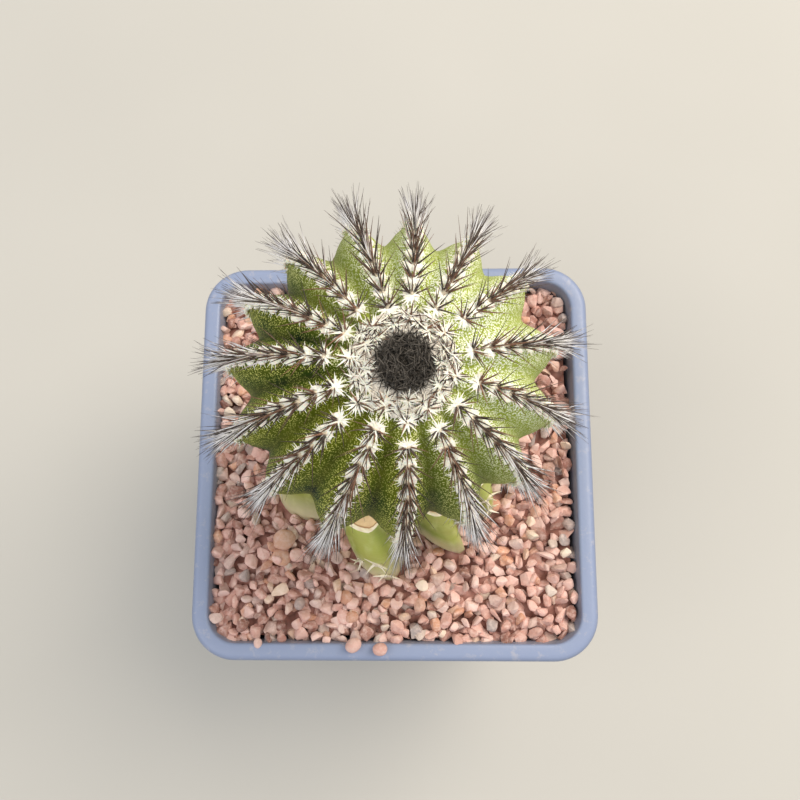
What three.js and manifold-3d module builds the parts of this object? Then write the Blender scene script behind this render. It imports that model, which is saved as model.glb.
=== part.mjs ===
// A grafted comb-spined cactus (Uebelmannia pectinifera) in a square plastic nursery pot.
//
// A globe with fifteen sharp ribs is grafted on a leaning, seven-ribbed column. Down every rib runs
// a comb: a strip of woolly felt, beaded where each areole sits, with spines that stand out of it.
// A crown of felt and short dark spines closes the top. The column stands in pink grit that fills a
// tapered square pot with a folded rim, four feet and drain holes.
//
// Units are millimetres, +Z is up, and the origin is the middle of the pot's foot.

import * as THREE from "three";
import { mergeVertices } from "three/addons/utils/BufferGeometryUtils.js";
import Module from "manifold-3d";

const wasm = await Module();
wasm.setup();

// Clearance between neighbouring pieces that touch on the real plant
const GAP = 0.3;
const TAU = 2 * Math.PI;

// Pot
const POT_SIDE = 90;
const POT_HEIGHT = 80;
const POT_FOOT_SIDE = 66;
const POT_WALL = 1.2;
const POT_CORNER = 10;
const POT_CORNER_STEPS = 5;
const RIM_WIDTH = 3.8;
const RIM_LIP = 6;
const FOOT_HEIGHT = 2.5;
const FOOT_WIDTH = 2;
const FLOOR_THICKNESS = 1.5;
const DRAIN_RADIUS = 3;
const DRAIN_PITCH = 40;
const NOTCH_WIDTH = 16;

// Grit
const GRIT_BED = 76;
const GRIT_SLOPE = 0.01;
const STONE_PITCH = 6.9;
const STONE_RADIUS = 4.3;
const STONE_SINK = 1.4;
const STONE_RISE = 0.8;

// Rootstock, the ribbed column below
// Its ribs' directions are in degrees, anticlockwise from above, at the grit
const STOCK_DIRECTIONS = [-89, -49, -26, 38, 95, 147, 195];
const STOCK_TWIST = THREE.MathUtils.degToRad(-15.5);
const STOCK_FOOT_Z = 50;
const STOCK_GRIT_Z = 76;
const STOCK_FOOT = new THREE.Vector2(-2, -4);
const STOCK_HEAD = new THREE.Vector2(0.2, 5.2);
const STOCK_CREST = 26.2;
const STOCK_HEAD_CREST = 22.8;
const STOCK_VALLEY_SHARE = 0.62;
const STOCK_HEAD_VALLEY_SHARE = 0.72;
const BEVEL_RADIUS = 16;
const BEVEL_SLOPE = 1.2;
const STOCK_AREOLES = [83, 95];
const STOCK_SPINE_LENGTH = 4;

// Scion, the grafted globe: its graft point, its lean and its size
const GRAFT = new THREE.Vector3(-0.6, 6.6, 118);
const SCION_LEAN = new THREE.Vector3(0.108, -0.089, 1).normalize();
const RIB_DIRECTIONS = [
  -87, -61.5, -37.5, -13, 12, 38, 61, 84, 106.5, 131, 153, 175, 199.5, 221.5, 247,
];
const SCION_RADIUS = 26.2;
const SCION_WAIST = 22;
const SCION_TOP = 22;
const SCION_FULLNESS = 0.9;
// Its outline from above is a little oval: the share it is wider and the way of its long side
const SCION_OVAL = 0.025;
const SCION_OVAL_TURN = THREE.MathUtils.degToRad(19);
const RIB_DEPTH = 3.7;
const GRAFT_RADIUS = 9.5;

// Combs: felt and spines along each rib, measured down from the crown along the rib's edge
const SEAT_DEPTH = 0.6;
const AREOLE_PITCH = 4.65;
const COMB_START = 9.3;
const COMB_AREOLES = 11;
const CENTRAL_SPINES = 3;
const FELT_HALF_WIDTH = 1.15;
const FELT_HEIGHT = 1.1;
const SPINE_RADIUS = 0.3;
const YOUNG_SPINE = 3.6;
const OLD_SPINE = 9.5;

// Crown
const CROWN_RADIUS = 6.4;
const CROWN_HEIGHT = 1.5;
const TUFT_RADIUS = 4.2;
const TUFT_SPINES = 40;
const TUFT_SPINE = 2.6;

const materials = {
  pot: new THREE.MeshStandardMaterial({ color: 0x8d9ab8, roughness: 0.5, metalness: 0 }),
  grit: new THREE.MeshStandardMaterial({ color: 0xc39a8c, roughness: 0.95, metalness: 0 }),
  stock: new THREE.MeshStandardMaterial({ color: 0x7f9a45, roughness: 0.6, metalness: 0 }),
  skin: new THREE.MeshStandardMaterial({ color: 0x66752f, roughness: 0.7, metalness: 0 }),
  comb: new THREE.MeshStandardMaterial({ color: 0x8a7a6c, roughness: 0.8, metalness: 0 }),
  crown: new THREE.MeshStandardMaterial({ color: 0x2b2523, roughness: 0.8, metalness: 0 }),
};

// A repeatable random number from 0 to 1
function seededRandom(seed) {
  let state = seed;
  return () => {
    state = (state + 0x6d2b79f5) | 0;
    let t = Math.imul(state ^ (state >>> 15), 1 | state);
    t = (t + Math.imul(t ^ (t >>> 7), 61 | t)) ^ t;
    return ((t ^ (t >>> 14)) >>> 0) / 4294967296;
  };
}

// A closed geometry as a solid that can be joined and cut
function solidOf(geometry) {
  const bare = geometry.clone();
  bare.deleteAttribute("normal");
  bare.deleteAttribute("uv");
  const merged = mergeVertices(bare, 1e-4);
  return new wasm.Manifold(
    new wasm.Mesh({
      numProp: 3,
      vertProperties: new Float32Array(merged.attributes.position.array),
      triVerts: new Uint32Array(merged.index.array),
    }),
  );
}

function meshOf(name, solid, material) {
  const made = solid.getMesh();
  const geometry = new THREE.BufferGeometry();
  const positions = new Float32Array(made.vertProperties);
  geometry.setAttribute("position", new THREE.BufferAttribute(positions, made.numProp));
  geometry.setIndex(new THREE.BufferAttribute(new Uint32Array(made.triVerts), 1));
  geometry.computeVertexNormals();
  const mesh = new THREE.Mesh(geometry, material);
  mesh.name = name;
  return mesh;
}

function unionOf(solids) {
  return solids.reduce((joined, next) => joined.add(next));
}

// Joins rings of equal length, given from the bottom up and turning anticlockwise seen from above,
// and closes both ends with a fan round the ring's middle
function loft(rings) {
  const count = rings[0].length;
  const positions = rings.flat().flatMap((p) => [p.x, p.y, p.z]);
  const index = [];
  for (let r = 0; r + 1 < rings.length; r++) {
    for (let i = 0; i < count; i++) {
      const a = r * count + i;
      const b = r * count + ((i + 1) % count);
      index.push(a, b, b + count, a, b + count, a + count);
    }
  }
  const addFan = (ring, first, facingDown) => {
    const middle = ring.reduce((sum, p) => sum.add(p), new THREE.Vector3()).divideScalar(count);
    const centre = positions.length / 3;
    positions.push(middle.x, middle.y, middle.z);
    for (let i = 0; i < count; i++) {
      const a = first + i;
      const b = first + ((i + 1) % count);
      index.push(...(facingDown ? [centre, b, a] : [centre, a, b]));
    }
  };
  addFan(rings[0], 0, true);
  addFan(rings.at(-1), (rings.length - 1) * count, false);
  const geometry = new THREE.BufferGeometry();
  geometry.setAttribute("position", new THREE.Float32BufferAttribute(positions, 3));
  geometry.setIndex(index);
  return solidOf(geometry);
}

// The direction, in radians, at a place among ribs listed anticlockwise in degrees: 2.5 is the
// middle of the valley between the third rib and the fourth
function directionAt(directions, place) {
  const listed = (rib) => {
    const laps = Math.floor(rib / directions.length);
    return directions[rib - laps * directions.length] + 360 * laps;
  };
  const rib = Math.floor(place);
  return THREE.MathUtils.degToRad(
    THREE.MathUtils.lerp(listed(rib), listed(rib + 1), place - rib),
  );
}

// A three-sided needle from a sunk root to a point
function needle(root, tip, radius) {
  const along = tip.clone().sub(root).normalize();
  const helper = Math.abs(along.z) < 0.9 ? new THREE.Vector3(0, 0, 1) : new THREE.Vector3(1, 0, 0);
  const side = new THREE.Vector3().crossVectors(along, helper).normalize();
  const up = new THREE.Vector3().crossVectors(along, side);
  const base = [0, 1, 2].map((i) =>
    root
      .clone()
      .addScaledVector(side, radius * Math.cos((i * TAU) / 3))
      .addScaledVector(up, radius * Math.sin((i * TAU) / 3)),
  );
  const geometry = new THREE.BufferGeometry();
  const positions = [...base, tip].flatMap((p) => [p.x, p.y, p.z]);
  geometry.setAttribute("position", new THREE.Float32BufferAttribute(positions, 3));
  geometry.setIndex([0, 2, 1, 0, 1, 3, 1, 2, 3, 2, 0, 3]);
  return solidOf(geometry);
}

// A square outline with round corners at one height
function roundedSquare(side, corner, z) {
  const straight = side / 2 - corner;
  const ring = [];
  for (let quarter = 0; quarter < 4; quarter++) {
    const turn = (quarter * Math.PI) / 2;
    const middle = new THREE.Vector3(straight, straight, z).applyAxisAngle(
      new THREE.Vector3(0, 0, 1),
      turn,
    );
    for (let i = 0; i <= POT_CORNER_STEPS; i++) {
      const angle = turn + ((i / POT_CORNER_STEPS) * Math.PI) / 2;
      const out = new THREE.Vector3(Math.cos(angle), Math.sin(angle), 0);
      ring.push(middle.clone().addScaledVector(out, corner));
    }
  }
  return ring;
}

// Pot: the inner wall's side and corner at a height, shared with the grit inside it
const POT_FLOOR_Z = FOOT_HEIGHT + FLOOR_THICKNESS;
const POT_MOUTH = POT_SIDE - 2 * RIM_WIDTH;
function potInside(z) {
  const share = (z - POT_FLOOR_Z) / (POT_HEIGHT - POT_FLOOR_Z);
  return {
    side: THREE.MathUtils.lerp(POT_FOOT_SIDE - 2 * POT_WALL, POT_MOUTH, share),
    corner: THREE.MathUtils.lerp(POT_CORNER - 3.5, POT_CORNER - RIM_WIDTH + 0.6, share),
  };
}

function potSolid() {
  const neck = POT_MOUTH + 2 * POT_WALL;
  const lipInside = POT_SIDE - 2 * POT_WALL;
  const flange = POT_HEIGHT - POT_WALL;
  const lipFoot = POT_HEIGHT - RIM_LIP;
  const footInside = POT_FOOT_SIDE - 2 * FOOT_WIDTH;
  const inner = (z) => roundedSquare(potInside(z).side, potInside(z).corner, z);
  const shell = loft([
    roundedSquare(footInside - 1, POT_CORNER - 4, FOOT_HEIGHT),
    roundedSquare(footInside, POT_CORNER - 3.5, 0),
    roundedSquare(POT_FOOT_SIDE, POT_CORNER - 2, 0),
    roundedSquare(neck, POT_CORNER - 2, flange),
    roundedSquare(lipInside, POT_CORNER - POT_WALL, flange),
    roundedSquare(lipInside, POT_CORNER - POT_WALL, lipFoot),
    roundedSquare(POT_SIDE, POT_CORNER, lipFoot),
    roundedSquare(POT_SIDE, POT_CORNER, POT_HEIGHT - 1.3),
    roundedSquare(POT_SIDE - 0.7, POT_CORNER - 0.3, POT_HEIGHT - 0.4),
    roundedSquare(POT_SIDE - 2.2, POT_CORNER - 1, POT_HEIGHT),
    roundedSquare(POT_MOUTH + 0.8, POT_CORNER - RIM_WIDTH + 1, POT_HEIGHT),
    inner(POT_HEIGHT - 0.5),
    inner(POT_FLOOR_Z + 2),
    roundedSquare(potInside(POT_FLOOR_Z).side - 3, POT_CORNER - 4, POT_FLOOR_Z),
  ]);
  const cutters = [];
  for (const [x, y] of [[0, 0], [1, 1], [-1, 1], [-1, -1], [1, -1]]) {
    const drain = new THREE.CylinderGeometry(DRAIN_RADIUS, DRAIN_RADIUS, 2 * POT_FLOOR_Z, 12);
    drain.rotateX(Math.PI / 2).translate((x * DRAIN_PITCH) / 2, (y * DRAIN_PITCH) / 2, POT_FLOOR_Z);
    cutters.push(solidOf(drain));
  }
  const notchHeight = FOOT_HEIGHT - 0.4;
  const acrossX = new THREE.BoxGeometry(POT_SIDE, NOTCH_WIDTH, 2 * notchHeight);
  const acrossY = new THREE.BoxGeometry(NOTCH_WIDTH, POT_SIDE, 2 * notchHeight);
  cutters.push(solidOf(acrossX), solidOf(acrossY));
  return cutters.reduce((cut, tool) => cut.subtract(tool), shell);
}

// Rootstock: the middle of the column leans back as it rises
function stockAxis(z) {
  const rise = (z - STOCK_GRIT_Z) / (GRAFT.z - STOCK_GRIT_Z);
  const share = THREE.MathUtils.smoothstep(rise, -0.6, 1.25) / 0.93;
  return new THREE.Vector2().lerpVectors(STOCK_FOOT, STOCK_HEAD, share);
}

function stockCrest(z) {
  const buried = THREE.MathUtils.smoothstep(z, STOCK_FOOT_Z - 6, STOCK_GRIT_Z - 4);
  const rise = THREE.MathUtils.clamp((z - STOCK_GRIT_Z) / (GRAFT.z - STOCK_GRIT_Z), 0, 1);
  return buried * THREE.MathUtils.lerp(STOCK_CREST, STOCK_HEAD_CREST, rise);
}

// The valleys get shallower as the column rises
function stockValleyShare(z) {
  const rise = THREE.MathUtils.clamp((z - STOCK_GRIT_Z) / (GRAFT.z - STOCK_GRIT_Z), 0, 1);
  return THREE.MathUtils.lerp(STOCK_VALLEY_SHARE, STOCK_HEAD_VALLEY_SHARE, rise);
}

function stockAngle(place, z) {
  const rise = (z - STOCK_GRIT_Z) / (GRAFT.z - STOCK_GRIT_Z);
  return directionAt(STOCK_DIRECTIONS, place) + rise * STOCK_TWIST;
}

// A blunt rib: how far round to the next rib each corner lies, and how deep in the valley
const STOCK_RIB_SHAPE = [[-0.05, 0], [0.05, 0], [0.24, 0.5], [0.42, 0.97], [0.58, 0.97], [0.76, 0.5]];
function stockRing(z, clearance) {
  const ring = [];
  const axis = stockAxis(z);
  const crest = stockCrest(z);
  for (let rib = 0; rib < STOCK_DIRECTIONS.length; rib++) {
    for (const [along, depth] of STOCK_RIB_SHAPE) {
      const radius = crest * THREE.MathUtils.lerp(1, stockValleyShare(z), depth) + clearance;
      const angle = stockAngle(rib + along, z);
      const x = axis.x + radius * Math.cos(angle);
      const y = axis.y + radius * Math.sin(angle);
      ring.push(new THREE.Vector3(x, y, z));
    }
  }
  return ring;
}

const STOCK_LEVELS = [STOCK_FOOT_Z, 60, 77, 91, 105, 126];
function stockColumn(clearance) {
  const levels = [STOCK_FOOT_Z - clearance, ...STOCK_LEVELS.slice(1)];
  return loft(levels.map((z) => stockRing(z, clearance)));
}

// The frame of the graft: its local z axis is the scion's lean
const graftTurn = new THREE.Quaternion().setFromUnitVectors(new THREE.Vector3(0, 0, 1), SCION_LEAN);
function intoGraftFrame(geometry, origin) {
  return geometry.applyQuaternion(graftTurn).translate(origin.x, origin.y, origin.z);
}

// What is left of the column where its top was cut flat and its rib ends were bevelled
function bevelTool() {
  const widest = 40;
  const drop = (widest - BEVEL_RADIUS) / BEVEL_SLOPE;
  const profile = [
    new THREE.Vector2(0, -90),
    new THREE.Vector2(widest, -90),
    new THREE.Vector2(widest, -drop),
    new THREE.Vector2(BEVEL_RADIUS, 0),
    new THREE.Vector2(0, 0),
  ];
  const tool = new THREE.LatheGeometry(profile, 36).rotateX(Math.PI / 2);
  return solidOf(intoGraftFrame(tool, new THREE.Vector3(STOCK_HEAD.x, STOCK_HEAD.y, GRAFT.z)));
}

// Three stubby spines that spread from each areole on the column's ribs
function stockSpines() {
  const spines = [];
  for (let rib = 0; rib < STOCK_DIRECTIONS.length; rib++) {
    for (const level of STOCK_AREOLES) {
      const z = level + (rib % 2) * 4;
      const angle = stockAngle(rib, z);
      const out = new THREE.Vector3(Math.cos(angle), Math.sin(angle), 0);
      const side = new THREE.Vector3(-out.y, out.x, 0);
      const axis = stockAxis(z);
      const root = new THREE.Vector3(axis.x, axis.y, z).addScaledVector(out, stockCrest(z) - 1.2);
      for (const [sideways, upwards] of [[-0.9, 0.1], [0, 0.7], [0.9, -0.1]]) {
        const way = out.clone().addScaledVector(side, sideways).setZ(upwards).normalize();
        const tip = root.clone().addScaledVector(way, STOCK_SPINE_LENGTH + 1.2);
        spines.push(needle(root, tip, 0.8));
      }
    }
  }
  return spines;
}

function stockSolid() {
  const column = stockColumn(0).intersect(bevelTool());
  return unionOf([column, ...stockSpines()]);
}

// Grit: a bed that fills the pot, with stones half sunk over its top
function gritLevel(y) {
  return GRIT_BED - GRIT_SLOPE * y;
}

function stone(random, x, y) {
  const size = STONE_RADIUS * (0.85 + 0.3 * random());
  const shape = new THREE.OctahedronGeometry(size, 0);
  shape.scale(1, 0.75 + 0.25 * random(), 0.75 + 0.2 * random());
  shape.rotateX(random() * TAU).rotateZ(random() * TAU);
  shape.translate(x, y, gritLevel(y) - STONE_SINK + STONE_RISE * (random() - 0.5));
  return solidOf(shape);
}

function gritSolid() {
  const random = seededRandom(7);
  const inside = (z, inset) => {
    const wall = potInside(z);
    return roundedSquare(wall.side - 2 * inset, wall.corner - inset, z);
  };
  const low = POT_FLOOR_Z + 2.6;
  const bedTop = inside(GRIT_BED, GAP);
  bedTop.forEach((p) => (p.z = gritLevel(p.y)));
  const bed = loft([inside(low, GAP), bedTop]);
  const limits = loft([inside(low, GAP), inside(POT_HEIGHT - 0.6, GAP + 0.15)]);
  const half = POT_MOUTH / 2 - 1.5;
  const nearCorner = (x, y) => Math.abs(x) + Math.abs(y) > 2 * half - 1;
  const stones = [];
  const steps = Math.floor((2 * half) / STONE_PITCH);
  for (let row = 0; row <= steps; row++) {
    for (let column = 0; column <= steps; column++) {
      const stagger = row % 2 ? 0.25 : -0.25;
      const x = -half + STONE_PITCH * (column + stagger + 0.3 * (random() - 0.5) + 0.3);
      const y = -half + STONE_PITCH * (row + 0.3 * (random() - 0.5) + 0.3);
      const made = stone(random, x, y);
      const fromStock = Math.hypot(x - STOCK_FOOT.x, y - STOCK_FOOT.y);
      const onStock = fromStock < STOCK_CREST * STOCK_VALLEY_SHARE + 1;
      if (!onStock && !nearCorner(x, y)) stones.push(made);
    }
  }
  return unionOf([bed, ...stones]).intersect(limits).subtract(stockColumn(2.9 * GAP));
}

// Scion: the rib's edge in the plane of its rib, by an angle from the waist, 90 degrees at the top
const GRAFT_ANGLE = -Math.acos((GRAFT_RADIUS / SCION_RADIUS) ** (1 / SCION_FULLNESS));
const SCION_BOTTOM = SCION_WAIST / Math.sin(-GRAFT_ANGLE);
function ribEdge(angle, inset) {
  const radius = SCION_RADIUS - inset;
  const height = (angle > 0 ? SCION_TOP : SCION_BOTTOM) - inset;
  return new THREE.Vector2(
    radius * Math.pow(Math.max(Math.cos(angle), 0), SCION_FULLNESS),
    SCION_WAIST + height * Math.sin(angle),
  );
}

// The rib's edge as evenly measured points, from the crown down to the graft
const edgeTable = [];
for (let step = 0, length = 0, last = null; step <= 400; step++) {
  const angle = THREE.MathUtils.lerp(Math.PI / 2, GRAFT_ANGLE, step / 400);
  const point = ribEdge(angle, 0);
  if (last) length += point.distanceTo(last);
  edgeTable.push({ angle, length });
  last = point;
}
function edgeAngleAt(length) {
  const next = edgeTable.findIndex((entry) => entry.length >= length);
  return next < 1 ? edgeTable.at(next).angle : edgeTable[next].angle;
}

function ovalShare(turn) {
  return 1 + SCION_OVAL * Math.cos(2 * (turn - SCION_OVAL_TURN));
}

function ribDirection(rib) {
  const angle = directionAt(RIB_DIRECTIONS, rib);
  return new THREE.Vector3(Math.cos(angle), Math.sin(angle), 0);
}

// A sharp rib with flat flanks: how far round to the next rib each corner lies, and how deep
const RIB_SHAPE = [[-0.04, 0], [0.04, 0], [0.26, 0.46], [0.5, 1], [0.74, 0.46]];
const RIB_LEVELS = [-0.95, -0.64, -0.34, -0.05, 0.24, 0.52, 0.78, 1.02, 1.23, 1.4, 1.53];
const scionFoot = GRAFT.clone().addScaledVector(SCION_LEAN, 2 * GAP);
function scionSolid() {
  const rings = [];
  for (const angle of [GRAFT_ANGLE, ...RIB_LEVELS]) {
    const edge = ribEdge(angle, SEAT_DEPTH);
    const depth = RIB_DEPTH * THREE.MathUtils.smoothstep(edge.x, 2, 15);
    const ring = [];
    for (let rib = 0; rib < RIB_DIRECTIONS.length; rib++) {
      for (const [along, share] of RIB_SHAPE) {
        const turn = directionAt(RIB_DIRECTIONS, rib + along);
        const radius = edge.x * ovalShare(turn) - depth * share;
        ring.push(new THREE.Vector3(radius * Math.cos(turn), radius * Math.sin(turn), edge.y));
      }
    }
    rings.push(ring);
  }
  rings[0].forEach((p) => p.setZ(0));
  return loft(rings.map((ring) => ring.map((p) => p.applyQuaternion(graftTurn).add(scionFoot))));
}

// A spot on a rib's edge, with the way out of the skin, the way down the rib and the way across it
function ribSpot(rib, length) {
  const angle = edgeAngleAt(length);
  const out = ribDirection(rib);
  const oval = new THREE.Vector2(ovalShare(directionAt(RIB_DIRECTIONS, rib)), 1);
  const at = ribEdge(angle, SEAT_DEPTH - GAP).multiply(oval);
  const ahead = ribEdge(angle - 0.01, SEAT_DEPTH - GAP).multiply(oval).sub(at).normalize();
  const inFrame = (x, z) => out.clone().multiplyScalar(x).setZ(z);
  return {
    radius: at.x,
    seat: inFrame(at.x, at.y),
    down: inFrame(ahead.x, ahead.y),
    normal: inFrame(-ahead.y, ahead.x),
    across: new THREE.Vector3(-out.y, out.x, 0),
  };
}

const toPlace = (p) => p.clone().applyQuaternion(graftTurn).add(scionFoot);

// The felt strip is a ridge, wide and high at every areole and slim between them
function feltStrip(rib, lengths) {
  const rings = [];
  const first = lengths[0] - AREOLE_PITCH / 2;
  for (let i = 0; i <= 2 * lengths.length; i++) {
    const swollen = i % 2 === 1;
    const spot = ribSpot(rib, first + (i * AREOLE_PITCH) / 2);
    const width = FELT_HALF_WIDTH * (swollen ? 1 : 0.38);
    const height = FELT_HEIGHT * (swollen ? 1 : 0.55);
    rings.push([
      spot.seat.clone().addScaledVector(spot.across, width),
      spot.seat.clone().addScaledVector(spot.normal, height),
      spot.seat.clone().addScaledVector(spot.across, -width),
    ].map(toPlace));
  }
  return loft(rings);
}

// A spine stands out of its areole, tipped down the rib and towards one side of it, but no
// further than the middle of the valley
function spineFrom(spot, length, down, side) {
  const reach = spot.radius + 0.5 * length;
  const room = Math.max(0.17 * reach - 3 * SPINE_RADIUS, 0.3);
  const across = Math.min(Math.abs(side) * length, room) * Math.sign(side);
  const root = spot.seat.clone().addScaledVector(spot.normal, 0.34);
  root.addScaledVector(spot.across, 0.45 * Math.sign(side));
  root.addScaledVector(spot.down, side ? 0.8 : -0.7);
  const way = spot.normal.clone().multiplyScalar(length);
  way.addScaledVector(spot.down, down * length).addScaledVector(spot.across, across);
  const tip = root.clone().addScaledVector(way.normalize(), length);
  return needle(toPlace(root), toPlace(tip), SPINE_RADIUS);
}

function combSolid(rib) {
  const start = COMB_START + (rib % 2 ? AREOLE_PITCH / 2 : 0);
  const areoles = COMB_AREOLES - (rib % 2);
  const lengths = Array.from({ length: areoles }, (_, i) => start + i * AREOLE_PITCH);
  const spines = [];
  lengths.forEach((length, i) => {
    const age = Math.min(length / 32, 1);
    const spot = ribSpot(rib, length);
    const spineLength = THREE.MathUtils.lerp(YOUNG_SPINE, OLD_SPINE, age);
    const spread = THREE.MathUtils.lerp(0.7, 0.3, age);
    const down = i % 2 ? 0.42 : 0.14;
    for (const side of [-1, 1]) spines.push(spineFrom(spot, spineLength, down, side * spread));
    const central = i > 1 && i % 3 === 0 && i <= 3 * CENTRAL_SPINES;
    if (central) spines.push(spineFrom(spot, spineLength, 0.25, 0));
  });
  return unionOf([feltStrip(rib, lengths), ...spines]);
}

// Crown: a felt cushion with a dense tuft in its middle and the youngest areoles round it
function crownSolid() {
  const seat = (radius) => {
    const angle = Math.acos((radius / SCION_RADIUS) ** (1 / SCION_FULLNESS));
    return ribEdge(angle, SEAT_DEPTH - GAP).y;
  };
  const profile = [
    new THREE.Vector2(0, seat(0)),
    new THREE.Vector2(CROWN_RADIUS * 0.6, seat(CROWN_RADIUS * 0.6)),
    new THREE.Vector2(CROWN_RADIUS, seat(CROWN_RADIUS)),
    new THREE.Vector2(CROWN_RADIUS * 0.97, seat(CROWN_RADIUS) + 0.8),
    new THREE.Vector2(CROWN_RADIUS * 0.6, seat(CROWN_RADIUS) + CROWN_HEIGHT),
    new THREE.Vector2(0, seat(0) + CROWN_HEIGHT),
  ];
  const cushion = new THREE.LatheGeometry(profile, RIB_DIRECTIONS.length).rotateX(Math.PI / 2);
  const pieces = [solidOf(intoGraftFrame(cushion, scionFoot))];
  const top = seat(0) + CROWN_HEIGHT - 0.7;
  const goldenTurn = Math.PI * (3 - Math.sqrt(5));
  for (let i = 0; i < TUFT_SPINES; i++) {
    const radius = TUFT_RADIUS * Math.sqrt((i + 0.5) / TUFT_SPINES);
    const out = new THREE.Vector3(Math.cos(i * goldenTurn), Math.sin(i * goldenTurn), 0);
    const root = out.clone().multiplyScalar(radius).setZ(top);
    const lean = (radius / TUFT_RADIUS) * (i % 2 ? 0.5 : -0.2);
    const way = out.clone().multiplyScalar(Math.sin(lean)).setZ(Math.cos(lean));
    const length = TUFT_SPINE + 0.6 + 0.9 * ((i * 0.37) % 1);
    const tip = root.clone().addScaledVector(way, length);
    pieces.push(needle(toPlace(root), toPlace(tip), SPINE_RADIUS));
  }
  for (let rib = 0; rib < RIB_DIRECTIONS.length; rib++) {
    const out = ribDirection(rib);
    const across = new THREE.Vector3(-out.y, out.x, 0);
    const radius = rib % 2 ? CROWN_RADIUS * 0.86 : CROWN_RADIUS * 0.74;
    const root = out.clone().multiplyScalar(radius).setZ(seat(radius) + 0.4);
    for (const side of [-1, 1]) {
      const way = out.clone().multiplyScalar(0.25).addScaledVector(across, 0.32 * side).setZ(1);
      const tip = root.clone().addScaledVector(way.normalize(), YOUNG_SPINE);
      pieces.push(needle(toPlace(root), toPlace(tip), SPINE_RADIUS));
    }
  }
  return unionOf(pieces);
}

const plant = new THREE.Group();
plant.name = "grafted_cactus";
const scion = new THREE.Group();
scion.name = "scion";
scion.add(meshOf("scion_body", scionSolid(), materials.skin));
scion.add(meshOf("crown_tuft", crownSolid(), materials.crown));
for (let rib = 0; rib < RIB_DIRECTIONS.length; rib++) {
  const number = String(rib + 1).padStart(2, "0");
  scion.add(meshOf(`rib_comb_${number}`, combSolid(rib), materials.comb));
}
plant.add(scion);
plant.add(meshOf("rootstock", stockSolid(), materials.stock));

const potted = new THREE.Group();
potted.name = "potted_cactus";
potted.add(plant);
potted.add(meshOf("grit_bed", gritSolid(), materials.grit));
potted.add(meshOf("pot", potSolid(), materials.pot));

export default potted;
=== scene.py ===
# %% [markdown]
# # A grafted comb-spined cactus in its pot
# The plant is a globe of Uebelmannia pectinifera with fifteen sharp ribs, grafted on a ribbed green
# column that stands in pink grit in a square plastic pot. The imported CAD model gives every piece its
# place, so the scene starts by loading it.

# %% Load the imported model
import math

import bmesh
import bpy
from mathutils import Matrix, Vector, noise


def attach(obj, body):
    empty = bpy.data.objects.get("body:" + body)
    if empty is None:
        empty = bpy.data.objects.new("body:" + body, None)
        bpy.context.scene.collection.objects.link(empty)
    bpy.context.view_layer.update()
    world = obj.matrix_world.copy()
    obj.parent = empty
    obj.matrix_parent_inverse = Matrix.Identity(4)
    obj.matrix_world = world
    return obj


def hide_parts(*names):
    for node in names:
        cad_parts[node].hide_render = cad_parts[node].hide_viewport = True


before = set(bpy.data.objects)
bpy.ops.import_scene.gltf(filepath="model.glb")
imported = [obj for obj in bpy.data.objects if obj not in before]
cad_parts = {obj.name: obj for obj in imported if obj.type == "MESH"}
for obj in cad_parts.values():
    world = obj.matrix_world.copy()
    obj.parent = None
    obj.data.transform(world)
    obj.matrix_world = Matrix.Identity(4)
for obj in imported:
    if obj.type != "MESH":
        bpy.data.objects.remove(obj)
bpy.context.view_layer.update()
MM = 0.001

# %% [markdown]
# ## Small helpers
# Screens store colours as sRGB, and Blender calculates with linear light, so one function turns a
# hex value into linear light. One function adds a node to any tree, sets it up and links it. A list
# of links goes into a socket that takes several. Two more are for sums on numbers and on vectors.

# %% Colours and nodes
def colour(code):
    """A hex sRGB colour as linear red, green, blue and opacity"""
    parts = [int(code[i:i + 2], 16) / 255 for i in (1, 3, 5)]
    return [p / 12.92 if p <= 0.04045 else ((p + 0.055) / 1.055) ** 2.4 for p in parts] + [1.0]


def add(tree, kind, inputs=None, stops=None, curve=None, **settings):
    """Adds a node with its settings, its input values and links, and its ramp or curve"""
    node = tree.nodes.new(kind)
    for name, value in settings.items():
        setattr(node, name, value)
    for key, value in (inputs or {}).items():
        for part in value if isinstance(value, list) and key == "Geometry" else [value]:
            if isinstance(part, bpy.types.NodeSocket):
                tree.links.new(part, node.inputs[key])
            else:
                node.inputs[key].default_value = part
    if stops:
        elements = node.color_ramp.elements
        while len(elements) < len(stops):
            elements.new(0.5)
        for element, (place, code) in zip(elements, stops):
            element.position, element.color = place, colour(code)
    if curve:
        line = node.mapping.curves[0]
        while len(line.points) < len(curve):
            line.points.new(0.5, 0.5)
        for point, place in zip(line.points, curve):
            point.location = place
        node.mapping.update()
    return node


def maths(tree, operation, *values):
    """The result of one sum on numbers or sockets"""
    return add(tree, "ShaderNodeMath", dict(enumerate(values)), operation=operation).outputs[0]


def vectors(tree, operation, *values):
    """The result of one sum on vectors. A scale takes its number last"""
    keys = (0, 3) if operation == "SCALE" else range(len(values))
    node = add(tree, "ShaderNodeVectorMath", dict(zip(keys, values)), operation=operation)
    return node.outputs["Value" if operation == "DOT_PRODUCT" else 0]


print("helpers ready")

# %% [markdown]
# A finish is a node material. Each one below ends in one Principled shader, and its name says what
# the real surface is and how it came about.

# %% Start and close a finish
def new_finish(name):
    """A material with an empty tree and the coordinates of the piece, in metres"""
    material = bpy.data.materials.new(name)
    material.use_nodes = True
    material.node_tree.nodes.clear()
    place = add(material.node_tree, "ShaderNodeTexCoord")
    return material, material.node_tree, place.outputs["Object"]


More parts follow.
